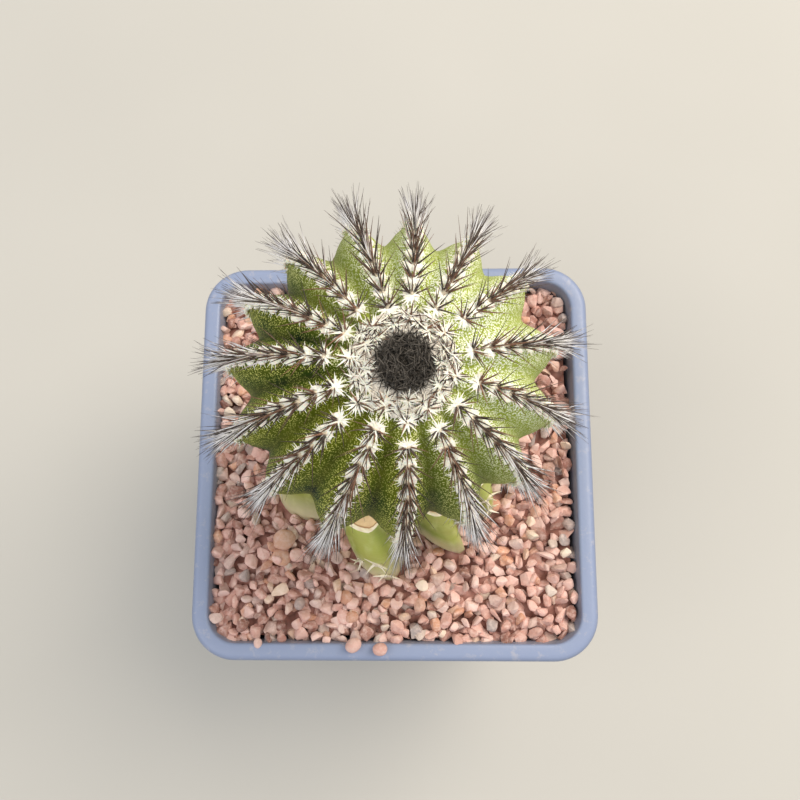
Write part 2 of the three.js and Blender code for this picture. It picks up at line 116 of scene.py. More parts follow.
def close_finish(tree, tint, rough, facing, numbers):
    """Ends a tree in a Principled shader: numbers are the sockets that are the same all over"""
    inputs = {"Base Color": tint, "Roughness": rough, "Normal": facing, **numbers}
    shader = add(tree, "ShaderNodeBsdfPrincipled", inputs)
    add(tree, "ShaderNodeOutputMaterial", {"Surface": shader.outputs["BSDF"]})


def grain(tree, place, size_mm, detail=2.0, roughness=0.5):
    """Noise whose blots are about this many millimetres wide"""
    inputs = {"Vector": place, "Scale": 0.6 / (size_mm * MM), "Detail": detail,
              "Roughness": roughness}
    return add(tree, "ShaderNodeTexNoise", inputs).outputs["Fac"]


print("finish can be started and closed")

# %% Helpers for colour and relief
def bumps(tree, height, strength, depth_mm, **settings):
    """The way a surface faces when a height roughens it"""
    inputs = {"Strength": strength, "Distance": depth_mm * MM, "Height": height}
    return add(tree, "ShaderNodeBump", inputs, **settings).outputs["Normal"]


def ramp(tree, share, *stops):
    """The colour at a share of the way along some stops"""
    return add(tree, "ShaderNodeValToRGB", {"Fac": share}, stops).outputs["Color"]


def blend_colours(tree, share, first, second):
    """Two colours mixed by a share: each is a socket or a hex value"""
    inputs = {0: share}
    for slot, part in ((6, first), (7, second)):
        inputs[slot] = colour(part) if isinstance(part, str) else part
    return add(tree, "ShaderNodeMix", inputs, data_type="RGBA").outputs[2]


def span(tree, value, low, high, to_low=0.0, to_high=1.0, **settings):
    """A value's place between two bounds, kept inside them"""
    inputs = {0: value, 1: low, 2: high, 3: to_low, 4: to_high}
    return add(tree, "ShaderNodeMapRange", inputs, **settings).outputs[0]


def attribute(tree, name):
    """What the mesh stores at each point under this name"""
    return add(tree, "ShaderNodeAttribute", attribute_name=name).outputs["Fac"]


print("colour and relief helpers ready")

# %% [markdown]
# ## Camera, floor and light
# The photograph looks down into the pot from about 19 cm above its rim, tipped a little. The place
# and turn of the camera were worked out from the four straight edges of the rim. A wide soft lamp
# stands to the upper right, where the shadows on the plant say the daylight came from. A weaker one
# opposite and a pale sky fill the shadows.

# %% Camera
FOCAL_PIXELS, FRAME_PIXELS, SENSOR_MM = 850, 800, 36
CAMERA_PLACE = (6.37, -23.11, 272.28)
CAMERA_TURNS = ((10.63, "X"), (1.47, "Y"), (-0.19, "Z"))
camera_data = bpy.data.cameras.new("photo_camera")
camera_data.sensor_width = SENSOR_MM
camera_data.lens = FOCAL_PIXELS / FRAME_PIXELS * SENSOR_MM
camera = bpy.data.objects.new("photo_camera", camera_data)
bpy.context.collection.objects.link(camera)
turn = Matrix.Identity(4)
for degrees, axis in CAMERA_TURNS:
    turn = turn @ Matrix.Rotation(math.radians(degrees), 4, axis)
camera.matrix_world = Matrix.Translation(Vector(CAMERA_PLACE) * MM) @ turn
bpy.context.scene.camera = camera
print("camera lens", round(camera_data.lens, 2), "mm")

# %% Floor, lamps and sky
bpy.ops.mesh.primitive_plane_add(size=3)
floor = bpy.context.object
floor.name = "floor"
paper, tree, place = new_finish("matt_paper_floor")
cloud = grain(tree, place, 60)
tint = blend_colours(tree, cloud, "#b4b2ad", "#bcbab5")
close_finish(tree, tint, 0.9, bumps(tree, cloud, 0.1, 0.1), {})
floor.data.materials.append(paper)


def add_lamp(name, place, aim, size, watts, tint):
    """A square soft lamp that faces a point"""
    data = bpy.data.lights.new(name, "AREA")
    data.size, data.energy, data.color = size, watts, colour(tint)[:3]
    lamp = bpy.data.objects.new(name, data)
    bpy.context.collection.objects.link(lamp)
    way = Vector(aim) - Vector(place)
    lamp.matrix_world = Matrix.Translation(place) @ way.to_track_quat("-Z", "Y").to_matrix().to_4x4()


add_lamp("daylight", (0.56, 0.4, 0.9), (0, 0, 0.12), 0.8, 12.5, "#fff4e2")
add_lamp("soft_fill", (-0.6, -0.3, 0.9), (0, 0, 0.1), 0.9, 3.6, "#fbf6ec")
sky = bpy.data.worlds.new("pale_sky")
bpy.context.scene.world = sky
sky.use_nodes = True
sky.node_tree.nodes["Background"].inputs["Color"].default_value = colour("#eff1f3")
sky.node_tree.nodes["Background"].inputs["Strength"].default_value = 0.84
bpy.context.scene.view_settings.view_transform = "Standard"
print("floor and lamps ready")

# %% [markdown]
# ## Meshes by rule
# The pot and the rootstock are lofts: rings of points at rising heights, joined by quads. A short
# function makes the mesh, stores what a finish needs at each point, and turns it into a piece that
# rides on the one body of this object.

# %% Loft, piece and attributes
def loft(rings, values=None):
    """Joins rings of equal length. The first and the last are closed with one face each"""
    count = len(rings[0])
    faces = [tuple(reversed(range(count)))]
    for r in range(len(rings) - 1):
        for i in range(count):
            a, b = r * count + i, r * count + (i + 1) % count
            faces.append((a, b, b + count, a + count))
    last = (len(rings) - 1) * count
    faces.append(tuple(range(last, last + count)))
    mesh = bpy.data.meshes.new("loft")
    mesh.from_pydata([Vector(p) * MM for ring in rings for p in ring], [], faces)
    for name, numbers in (values or {}).items():
        mesh.attributes.new(name, "FLOAT", "POINT").data.foreach_set("value", numbers)
    return mesh


def add_piece(name, mesh, finish, slot, *nodes):
    """A mesh as a piece of the plant that stands for CAD nodes. A grown mesh brings its finish"""
    piece = bpy.data.objects.new(name, mesh)
    bpy.context.collection.objects.link(piece)
    if finish:
        mesh.materials.clear()
        mesh.materials.append(finish)
    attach(piece, "root")
    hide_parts(*nodes)
    triangles = sum(len(p.vertices) - 2 for p in mesh.polygons)
    print(f"{name}: {triangles} triangles")


def mix(a, b, share):
    return a + (b - a) * share


def smooth(value, low, high):
    """Rises from 0 at low to 1 at high with soft ends"""
    share = min(max((value - low) / (high - low), 0), 1)
    return share * share * (3 - 2 * share)


print("mesh helpers ready")

# %% [markdown]
# ## The pot
# A square nursery pot is injection moulded from polypropylene: thin tapered walls, a rim that is
# folded out and down, four feet and drain holes. It could be made from a cube with bevels and a
# solidify modifier. A loft is used because every wall thickness and corner radius is then a number
# at a height, and the folded rim needs a whole profile. Boolean modifiers cut the feet and holes.

# %% The pot's profile
POT_SIDE, POT_HEIGHT, POT_MOUTH, POT_INSIDE_FOOT, POT_FLOOR = 90, 80, 82.4, 63.6, 4
RIM_ROUND, LIP_ROUND, HEM_ROUND = 1.6, 0.7, 0.3
POT_CORNER_STEPS = 16
POT_SIDE_STEPS = 8


def rounded_square(side, corner, z):
    """Points round a square with round corners, anticlockwise from above"""
    ring, straight = [], side / 2 - corner
    for quarter in range(4):
        start = quarter * math.pi / 2
        middle = Matrix.Rotation(start, 2) @ Vector((straight, straight))
        for i in range(POT_CORNER_STEPS + 1):
            angle = start + i / POT_CORNER_STEPS * math.pi / 2
            ring.append((middle.x + corner * math.cos(angle), middle.y + corner * math.sin(angle), z))
        side_start = Vector(ring[-1][:2])
        whole_side = Matrix.Rotation(start, 2) @ Vector((-2 * straight, 0))
        for i in range(1, POT_SIDE_STEPS):
            spot = side_start + whole_side * i / POT_SIDE_STEPS
            ring.append((spot.x, spot.y, z))
    return ring


def pot_inside(z, inset=0):
    """The inner wall's ring at a height"""
    share = (z - POT_FLOOR) / (POT_HEIGHT - POT_FLOOR)
    side = mix(POT_INSIDE_FOOT, POT_MOUTH, share)
    return rounded_square(side - 2 * inset, mix(6.5, 6.8, share) - inset, z)


def arc(side, corner, z, radius, start, stop, steps):
    """A rounded edge of the profile, as rings, about a point at this side and height"""
    rings = []
    for i in range(steps + 1):
        angle = math.radians(mix(start, stop, i / steps))
        out, up = radius * math.cos(angle), radius * math.sin(angle)
        rings.append(rounded_square(side + 2 * out, corner + out, z + up))
    return rings


hollow_foot = [rounded_square(61, 6, 2.5), rounded_square(62, 6.5, 0.3), rounded_square(62.6, 6.8, 0)]
foot_edge = arc(65.2, 7.6, 0.4, 0.4, -90, 0, 3)
outside = [rounded_square(mix(66, 84.8, i / 6), 8, mix(0.8, 78.6, i / 6)) for i in range(1, 7)]
inside_fold = [rounded_square(87.6, 8.8, z) for z in (78.8, 76, 74.2)]
rim = arc(POT_SIDE - 2 * HEM_ROUND, 9.7, 74.3, HEM_ROUND, -90, 0, 2)
rim += arc(POT_SIDE - 2 * RIM_ROUND, 8.4, POT_HEIGHT - RIM_ROUND, RIM_ROUND, 0, 90, 7)
rim += arc(POT_MOUTH + 2 * LIP_ROUND, 7.2, POT_HEIGHT - LIP_ROUND, LIP_ROUND, 90, 180, 4)
inside = [pot_inside(z) for z in (78, 74, 60, 40, 20, 6)] + [rounded_square(60.6, 6, POT_FLOOR)]
pot_rings = hollow_foot + foot_edge + outside + inside_fold + rim + inside
print(len(pot_rings), "rings of", len(pot_rings[0]), "points")

# %% Cut the feet and the drain holes
FOOT_GAP, FOOT_HEIGHT, DRAIN_RADIUS, DRAIN_REACH = 16, 2.1, 3, 20
pot_shell = bpy.data.objects.new("pot_shell", loft(pot_rings))
bpy.context.collection.objects.link(pot_shell)
cutters = []
for wide, deep in ((POT_SIDE, FOOT_GAP), (FOOT_GAP, POT_SIDE)):
    bpy.ops.mesh.primitive_cube_add(size=1)
    bpy.context.object.scale = Vector((wide, deep, 2 * FOOT_HEIGHT)) * MM
    cutters.append(bpy.context.object)
for x, y in ((0, 0), (1, 1), (-1, 1), (-1, -1), (1, -1)):
    spot = Vector((x * DRAIN_REACH, y * DRAIN_REACH, POT_FLOOR)) * MM
    bpy.ops.mesh.primitive_cylinder_add(vertices=40, radius=DRAIN_RADIUS * MM, depth=4 * POT_FLOOR * MM,
                                        location=spot)
    cutters.append(bpy.context.object)
for cutter in cutters:
    cut = pot_shell.modifiers.new("cut", "BOOLEAN")
    cut.operation, cut.object, cut.solver = "DIFFERENCE", cutter, "EXACT"
seen = bpy.context.evaluated_depsgraph_get()
pot_mesh = bpy.data.meshes.new_from_object(pot_shell.evaluated_get(seen))
for spare in [pot_shell, *cutters]:
    bpy.data.objects.remove(spare)
pot_mesh.shade_smooth()
pot_mesh.set_sharp_from_angle(angle=math.radians(38))
print("pot mesh", len(pot_mesh.polygons), "faces")

# %% [markdown]
# The finish is polypropylene with slate blue pigment, as it comes from the mould: a fine spark
# grain under 0.2 mm that softens the highlight, drawn at 0.5 mm so that it shows. The rolled
# shoulder of the rim is painted paler as a highlight, the wall inside the mouth is greyer, and grit
# dust clings near the rim and hardly below it.

# %% Moulded polypropylene
slate_plastic, tree, place = new_finish("moulded_slate_polypropylene")
cloud = grain(tree, place, 14, 3)
fine = grain(tree, place, 0.5, 2)
speck = grain(tree, place, 1.4, 3, 0.7)
axes = add(tree, "ShaderNodeSeparateXYZ", {"Vector": place}).outputs
tint = blend_colours(tree, cloud, "#64708b", "#76829d")
# The rolled shoulder of the rim is painted paler: a painted highlight.
shoulder_highlight = span(tree, axes["Z"], 0.0786, 0.0799)
tint = blend_colours(tree, shoulder_highlight, tint, "#8490ae")
reach = maths(tree, "MAXIMUM", *(maths(tree, "ABSOLUTE", axes[way]) for way in "XY"))
within = span(tree, reach, POT_MOUTH / 2 * MM, (POT_MOUTH / 2 + 0.4) * MM, 1, 0)
dusk = maths(tree, "MULTIPLY", within, span(tree, axes["Z"], 0.0785, 0.0797, 1, 0))
tint = blend_colours(tree, dusk, tint, "#84889a")
dust = maths(tree, "MULTIPLY", span(tree, speck, 0.56, 0.72, 0, 0.35),
             span(tree, axes["Z"], 0.071, 0.075, 0.12, 1))
tint = blend_colours(tree, dust, tint, "#b9b3b3")
rough = span(tree, fine, 0.3, 0.7, 0.3, 0.45)
close_finish(tree, tint, rough, bumps(tree, fine, 0.5, 0.06), {"IOR": 1.49})
add_piece("pot", pot_mesh, slate_plastic, "pot_plastic", "pot")

# %% [markdown]
# ## The rootstock
# The column is a blunt-ribbed cactus whose top was cut flat for the graft, and whose rib ends were
# then bevelled so that they dry without lifting the globe. A cylinder with array-like dents could
# give ribs, but here each rib has its own direction, read from the photograph, and the column leans
# and twists. So each ring is worked out from those numbers, and the last rings lie on the cut.

# %% The rootstock's shape
STOCK_DIRECTIONS = [-89, -49, -26, 38, 95, 147, 195]
STOCK_FOOT_Z, STOCK_GRIT_Z, GRAFT_Z = 50, 76, 118
STOCK_LOW_PLACE, STOCK_TOP_PLACE = (-2, -4), (0.2, 5.2)
STOCK_LOW_RADIUS, STOCK_TOP_RADIUS = 26.2, 22.2
LOW_VALLEY_SHARE, TOP_VALLEY_SHARE = 0.62, 0.71
STOCK_TWIST = math.radians(15.5)
BEVEL_RADIUS, BEVEL_SLOPE = 16, 1.2
lean = Vector((0.108, -0.089, 1)).normalized()
graft_turn = Vector((0, 0, 1)).rotation_difference(lean)
stock_head = Vector((*STOCK_TOP_PLACE, GRAFT_Z))


def direction_at(directions, place):
    """The direction at a place among ribs listed anticlockwise, in radians"""
    rib = math.floor(place)
    listed = [directions[n % len(directions)] + 360 * (n // len(directions)) for n in (rib, rib + 1)]
    return math.radians(mix(listed[0], listed[1], place - rib))


def stock_share(z):
    """A height as a share of the way from the grit to the graft"""
    return (z - STOCK_GRIT_Z) / (GRAFT_Z - STOCK_GRIT_Z)


def stock_rise(z):
    return min(max(stock_share(z), 0), 1)


def stock_axis(z):
    """The middle of the column, which leans over in a soft curve"""
    share = smooth(stock_share(z), -0.6, 1.25) / 0.93
    return Vector((*(mix(a, b, share) for a, b in zip(STOCK_LOW_PLACE, STOCK_TOP_PLACE)), z))


def stock_crest(z):
    """How far a rib's crest lies from the middle"""
    shown = mix(STOCK_LOW_RADIUS, STOCK_TOP_RADIUS, stock_rise(z))
    return smooth(z, STOCK_FOOT_Z - 6, STOCK_GRIT_Z - 4) * shown


def stock_valley(place, z):
    """How deep in the valley, from 0 on a crest to 1. At the foot wide valleys have broader crests"""
    rib, away = math.floor(place), min(place % 1, 1 - place % 1)
    gap = direction_at(STOCK_DIRECTIONS, rib + 1) - direction_at(STOCK_DIRECTIONS, rib)
    fullness = mix(1.1 * max(math.degrees(gap) / 48, 1), 1.7, stock_rise(z))
    flat = min(max((away - 0.045) / 0.4, 0), 1) ** fullness
    return mix(flat, 0.5 - 0.5 * math.cos(2 * math.pi * away), 0.25)


def stock_radius(place, z):
    deepest = mix(LOW_VALLEY_SHARE, TOP_VALLEY_SHARE, stock_rise(z))
    return stock_crest(z) * mix(1, deepest, stock_valley(place, z))


def stock_point(place, z, inset=0):
    radius = stock_radius(place, z) - inset
    angle = direction_at(STOCK_DIRECTIONS, place) - STOCK_TWIST * stock_share(z)
    return stock_axis(z) + Vector((radius * math.cos(angle), radius * math.sin(angle), 0))


def bevel_start(local):
    """The bevel starts further out on the two ribs at the front right, where the knife took less"""
    away = math.degrees(math.atan2(local.y, local.x)) + 55
    return BEVEL_RADIUS + 8 * math.exp(-(away / 28) ** 2)


def above_cut(point):
    """How far a point lies above the flat cut and its bevel"""
    local = graft_turn.inverted() @ (point - stock_head)
    return local.z + max(0, local.xy.length - bevel_start(local)) / BEVEL_SLOPE


print("rootstock is", round(2 * stock_crest(80), 1), "mm across at the grit")

# %% The rootstock's mesh
SPOTS_PER_RIB, STOCK_RINGS, HALVINGS = 20, 56, 24
CUT_LIMITS = (80, 130)
CUT_STEPS = (0.04, 0.12, 0.25, 0.4, 0.6, 0.8, 1, 1.25, 1.6, 1.9)
stock_spots = [i / SPOTS_PER_RIB for i in range(SPOTS_PER_RIB * len(STOCK_DIRECTIONS))]
cut_heights = []
for spot in stock_spots:
    low, high = CUT_LIMITS
    for _ in range(HALVINGS):
        z = (low + high) / 2
        low, high = (low, z) if above_cut(stock_point(spot, z)) > 0 else (z, high)
    cut_heights.append(low)
stock_rings, from_cut, in_valley = [], [], []
for r in range(STOCK_RINGS + 1):
    ring = []
    for spot, top in zip(stock_spots, cut_heights):
        point = stock_point(spot, mix(STOCK_FOOT_Z, top, (r / STOCK_RINGS) ** 0.8))
        swell = 0.25 * noise.noise(point / 7) + 0.12 * noise.noise(point / 2.6)
        outward = (point - stock_axis(point.z)).normalized()
        ring.append(point + outward * swell)
        from_cut.append(-(top - point.z))
        in_valley.append(stock_valley(spot, point.z))
    stock_rings.append(ring)
rim_spots = [graft_turn.inverted() @ (p - stock_head) for p in stock_rings[-1]]
for step in CUT_STEPS:
    ring = []
    for local, spot in zip(rim_spots, stock_spots):
        wide, start = local.xy.length, bevel_start(local)
        flat = min(start, wide - 0.8)
        out = mix(wide, flat, step) if step <= 1 else mix(flat, 0.3, step - 1)
        bead = 0.22 * math.exp(-((wide - out - 0.5) / 0.45) ** 2) if step < 1 else 0
        sink = 0.35 * math.sin(math.pi * min(step, 1)) * min((wide - flat) / 4, 1)
        up = -max(0, out - start) / BEVEL_SLOPE + (bead - sink if out > 14 else 0)
        flat_point = Vector((local.x, local.y, 0)).normalized() * out
        ring.append(stock_head + graft_turn @ (flat_point + Vector((0, 0, up))))
        from_cut.append(wide - out)
        in_valley.append(stock_valley(spot, GRAFT_Z))
    stock_rings.append(ring)
stock_mesh = loft(stock_rings, {"from_cut": from_cut, "in_valley": in_valley})
stock_mesh.shade_smooth()
stock_mesh.set_sharp_from_angle(angle=math.radians(50))
print("cut at", round(min(cut_heights), 1), "to", round(max(cut_heights), 1), "mm")

# %% [markdown]
# The skin of the column is a waxy green that thins to yellow-green on the crests, is painted darker
# into the valleys as shade, and turns to pale cork at the foot. Where it was cut it healed: a cream
# rim, a thin brown line inside it, and a tan corky middle. The loft stored how far each point lies
# from the cut, so a ramp draws those bands.

# %% Waxy skin with a healed cut
waxy_skin, tree, place = new_finish("waxy_rootstock_skin")
cloud = grain(tree, place, 9, 3)
streak_place = add(tree, "ShaderNodeMapping", {"Vector": place, "Scale": (1, 1, 0.12)})
streak = grain(tree, streak_place.outputs["Vector"], 1.3, 3)
fine = grain(tree, place, 0.6, 2)
# The ramp darkens the skin from the yellow-green crests into the valleys: painted shade.
tint = ramp(tree, attribute(tree, "in_valley"),
            (0, "#b3c056"), (0.12, "#879c2e"), (0.5, "#687c24"), (1, "#465a1a"))
tint = blend_colours(tree, span(tree, cloud, 0.35, 0.7, 0, 0.7), tint, "#9a9a44")
tint = blend_colours(tree, span(tree, streak, 0.52, 0.68, 0, 0.35), tint, "#c8d08a")
height = add(tree, "ShaderNodeSeparateXYZ", {"Vector": place}).outputs["Z"]
ragged_height = maths(tree, "ADD", height, span(tree, cloud, 0, 1, -0.005, 0.005))
tint = blend_colours(tree, span(tree, ragged_height, 0.078, 0.092, 0.9, 0), tint, "#d3c9a8")
cut_mm = attribute(tree, "from_cut")
wander = maths(tree, "ADD", cut_mm, span(tree, grain(tree, place, 2), 0, 1, -0.25, 0.25))
healed = ramp(tree, span(tree, wander, 0, 5),
              (0, "#fff3d6"), (0.15, "#fff0cc"), (0.19, "#a8703c"), (0.25, "#f0cf9c"), (0.6, "#f2d2a0"),
              (1, "#e6c28e"))
healed = blend_colours(tree, span(tree, fine, 0.4, 0.7, 0, 0.3), healed, "#c99f6d")
tint = blend_colours(tree, span(tree, cut_mm, -0.25, 0), tint, healed)
rough = span(tree, cut_mm, -0.2, 0.3, 0.42, 0.85)
close_finish(tree, tint, rough, bumps(tree, maths(tree, "ADD", streak, fine), 0.5, 0.12),
             {"IOR": 1.45, "Subsurface Weight": 0.12, "Subsurface Scale": 0.002,
              "Subsurface Radius": (0.6, 1.0, 0.2)})
add_piece("rootstock", stock_mesh, waxy_skin, "rootstock_skin", "rootstock")

# %% [markdown]
# ## The globe
# The globe follows one rule all the way round: a rib's edge runs from the graft over the waist to
# the crown on an egg-like curve, and between two ribs the skin dips in a flat-sided valley. A shape
# that follows a rule suits Geometry Nodes: a flat grid is laid out with the ribs across and the
# curve up, and one Set Position node wraps it. The ribs' own directions come in as points.

# %% Trees and what they grow
def new_tree(name, sizes):
    """A Geometry Nodes tree with one named input for each size"""
    tree = bpy.data.node_groups.new(name, "GeometryNodeTree")
    tree.interface.new_socket("Geometry", in_out="INPUT", socket_type="NodeSocketGeometry")
    tree.interface.new_socket("Geometry", in_out="OUTPUT", socket_type="NodeSocketGeometry")
    for size, value in sizes.items():
        kind = "NodeSocketInt" if isinstance(value, int) else "NodeSocketFloat"
        tree.interface.new_socket(size, in_out="INPUT", socket_type=kind).default_value = value
    return tree, add(tree, "NodeGroupInput").outputs


def grown(name, seeds, tree, sizes=None):
    """The plain mesh that a tree makes of a mesh of seeds"""
    holder = bpy.data.objects.new(name, seeds)
    bpy.context.collection.objects.link(holder)
    modifier = holder.modifiers.new("grow", "NODES")
    modifier.node_group = tree
    for item in tree.interface.items_tree:
        if item.in_out == "INPUT" and item.name in (sizes or {}):
            modifier[item.identifier] = sizes[item.name]
    seen = bpy.context.evaluated_depsgraph_get()
    mesh = bpy.data.meshes.new_from_object(holder.evaluated_get(seen), depsgraph=seen)
    bpy.data.objects.remove(holder)
    return mesh


def seed_mesh(points, **values):
    """Loose points, in metres, that carry numbers or vectors"""
    mesh = bpy.data.meshes.new("seeds")
    mesh.from_pydata(points, [], [])
    for name, items in values.items():
        holds_ways = isinstance(items[0], Vector)
        layer = mesh.attributes.new(name, "FLOAT_VECTOR" if holds_ways else "FLOAT", "POINT")
        flat = [c for item in items for c in item] if holds_ways else items
        layer.data.foreach_set("vector" if holds_ways else "value", flat)
    return mesh


print("growing helpers ready")

# %% Helpers for points and numbers in a tree
def carried(tree, name, data_type="FLOAT"):
    """What each point carries under this name"""
    inputs = {"Name": name}
    return add(tree, "GeometryNodeInputNamedAttribute", inputs, data_type=data_type).outputs[0]


def stored(tree, geometry, name, value):
    """The geometry with a number kept at each point under this name"""
    inputs = {"Geometry": geometry, "Name": name, "Value": value}
    return add(tree, "GeometryNodeStoreNamedAttribute", inputs).outputs[0]


def moved(tree, geometry, **inputs):
    """The geometry with its points moved by an Offset or to a Position"""
    return add(tree, "GeometryNodeSetPosition", {"Geometry": geometry, **inputs}).outputs[0]


def shaded_smooth(tree, geometry):
    inputs = {"Geometry": geometry, "Shade Smooth": True}
    return add(tree, "GeometryNodeSetShadeSmooth", inputs).outputs[0]


def spot_axes(tree):
    """The X, Y and Z of each point"""
    spot = add(tree, "GeometryNodeInputPosition").outputs[0]
    return add(tree, "ShaderNodeSeparateXYZ", {"Vector": spot}).outputs


def vector_of(tree, **axes):
    """A vector of X, Y and Z, where what isn't named is zero"""
    return add(tree, "ShaderNodeCombineXYZ", axes).outputs[0]


def blend_numbers(tree, share, first, second):
    return add(tree, "ShaderNodeMix", {0: share, 2: first, 3: second}).outputs[0]


def on_curve(tree, value, points):
    """The height over a value of a curve through these points"""
    return add(tree, "ShaderNodeFloatCurve", {"Value": value}, curve=points).outputs[0]


print("tree helpers ready")

# %% The rule of a rib's edge
RIB_DIRECTIONS = [-87, -61.5, -37.5, -13, 12, 38, 61, 84, 106.5, 131, 153, 175, 199.5, 221.5, 247]
RIBS = len(RIB_DIRECTIONS)
SCION_RADIUS, SCION_WAIST, SCION_TOP, SCION_FULLNESS = 26.2, 22, 22, 0.9
SCION_OVAL, SCION_OVAL_TURN = 0.025, math.radians(19)
RIB_DEPTH, GRAFT_RADIUS, SEAT_DEPTH = 3.9, 9.5, 0.6
GRAFT_ANGLE = -math.acos((GRAFT_RADIUS / SCION_RADIUS) ** (1 / SCION_FULLNESS))
SCION_BOTTOM = SCION_WAIST / math.sin(-GRAFT_ANGLE)
SCION_FOOT_PLACE = (-0.6, 6.6)
scion_foot = Vector((*SCION_FOOT_PLACE, GRAFT_Z)) + SEAT_DEPTH * lean
into_place = Matrix.Translation(scion_foot * MM) @ graft_turn.to_matrix().to_4x4()


def rib_edge(angle, inset=0):
    """Out from the axis and up from the graft, in mm, on a rib's edge"""
    height = (SCION_TOP if angle > 0 else SCION_BOTTOM) - inset
    out = (SCION_RADIUS - inset) * max(math.cos(angle), 0) ** SCION_FULLNESS
    return Vector((out, SCION_WAIST + height * math.sin(angle)))


def oval_share(turn):
    """From above the globe is a little oval: how much wider it is on the way of this turn"""
    return 1 + SCION_OVAL * math.cos(2 * (turn - SCION_OVAL_TURN))


EDGE_STEPS = 600
edge_angles = [mix(math.pi / 2, GRAFT_ANGLE, i / EDGE_STEPS) for i in range(EDGE_STEPS + 1)]
edge_lengths = [0.0]
for before, after in zip(edge_angles, edge_angles[1:]):
    edge_lengths.append(edge_lengths[-1] + (rib_edge(after) - rib_edge(before)).length)
print("a rib's edge is", round(edge_lengths[-1], 1), "mm long")

# %% Wrap a grid into the globe
SKIN_SPOTS, SKIN_RINGS = 18, 110
VALLEY_DIP = [(0, 0), (0.03, 0.03), (0.1, 0.17), (0.26, 0.5), (0.44, 0.93), (0.5, 1),
              (0.56, 0.93), (0.74, 0.5), (0.9, 0.17), (0.97, 0.03), (1, 0)]
tree, given = new_tree("ribbed_globe", {
    "Spots a rib": SKIN_SPOTS, "Rings": SKIN_RINGS, "Radius": SCION_RADIUS - SEAT_DEPTH,
    "Waist": float(SCION_WAIST), "Top": SCION_TOP - SEAT_DEPTH, "Bottom": SCION_BOTTOM - SEAT_DEPTH,
    "Fullness": SCION_FULLNESS, "Depth": RIB_DEPTH, "Graft angle": GRAFT_ANGLE, "Oval": SCION_OVAL,
    "Oval turn": SCION_OVAL_TURN})
sheet = add(tree, "GeometryNodeMeshGrid", {
    "Size X": float(RIBS), "Size Y": 1.0,
    "Vertices X": maths(tree, "ADD", maths(tree, "MULTIPLY", given["Spots a rib"], RIBS), 1),
    "Vertices Y": maths(tree, "ADD", given["Rings"], 1)}).outputs["Mesh"]
spot = spot_axes(tree)
rib_place = maths(tree, "ADD", spot["X"], RIBS / 2)
rise = maths(tree, "ADD", spot["Y"], 0.5)
rib = maths(tree, "MINIMUM", maths(tree, "FLOOR", maths(tree, "ADD", rib_place, 0.001)), RIBS - 1)
along = maths(tree, "SUBTRACT", rib_place, rib)
listed = carried(tree, "direction")
pair = [add(tree, "GeometryNodeSampleIndex", {0: given["Geometry"], 1: listed, 2: index}).outputs[0]
        for index in (rib, maths(tree, "ADD", rib, 1))]
direction = blend_numbers(tree, along, *pair)
dip = on_curve(tree, along, VALLEY_DIP)
angle = blend_numbers(tree, rise, given["Graft angle"], math.pi / 2)
upper = maths(tree, "GREATER_THAN", angle, 0.0)
swell = blend_numbers(tree, upper, given["Bottom"], given["Top"])
height = maths(tree, "MULTIPLY_ADD", maths(tree, "SINE", angle), swell, given["Waist"])
wide = maths(tree, "POWER", maths(tree, "MAXIMUM", maths(tree, "COSINE", angle), 0.0), given["Fullness"])
wide = maths(tree, "MULTIPLY", wide, given["Radius"])
room = span(tree, wide, 2.0, 15.0, interpolation_type="SMOOTHSTEP")
depth = maths(tree, "MULTIPLY", maths(tree, "MULTIPLY", room, given["Depth"]), dip)
from_long_way = maths(tree, "SUBTRACT", direction, given["Oval turn"])
lobed = maths(tree, "COSINE", maths(tree, "MULTIPLY", from_long_way, 2.0))
wide = maths(tree, "MULTIPLY", wide, maths(tree, "MULTIPLY_ADD", lobed, given["Oval"], 1.0))
radius = maths(tree, "SUBTRACT", wide, depth)
radius = maths(tree, "MULTIPLY", radius, maths(tree, "GREATER_THAN", rise, 0.0001))
wrapped = vector_of(tree, X=maths(tree, "MULTIPLY", radius, maths(tree, "COSINE", direction)),
                    Y=maths(tree, "MULTIPLY", radius, maths(tree, "SINE", direction)), Z=height)
marked = stored(tree, stored(tree, sheet, "in_valley", dip), "rise", rise)
bent = moved(tree, marked, Position=wrapped)
closed = add(tree, "GeometryNodeMergeByDistance", {"Geometry": bent, "Distance": 0.001})
add(tree, "NodeGroupOutput", {"Geometry": shaded_smooth(tree, closed.outputs[0])})
rib_turns = [math.radians(d) for d in (*RIB_DIRECTIONS, RIB_DIRECTIONS[0] + 360)]
skin_mesh = grown("globe", seed_mesh([(0, 0, 0)] * len(rib_turns), direction=rib_turns), tree)
skin_mesh.transform(into_place @ Matrix.Scale(MM, 4))
skin_mesh.set_sharp_from_angle(angle=math.radians(60))
print("globe", len(skin_mesh.polygons), "faces")
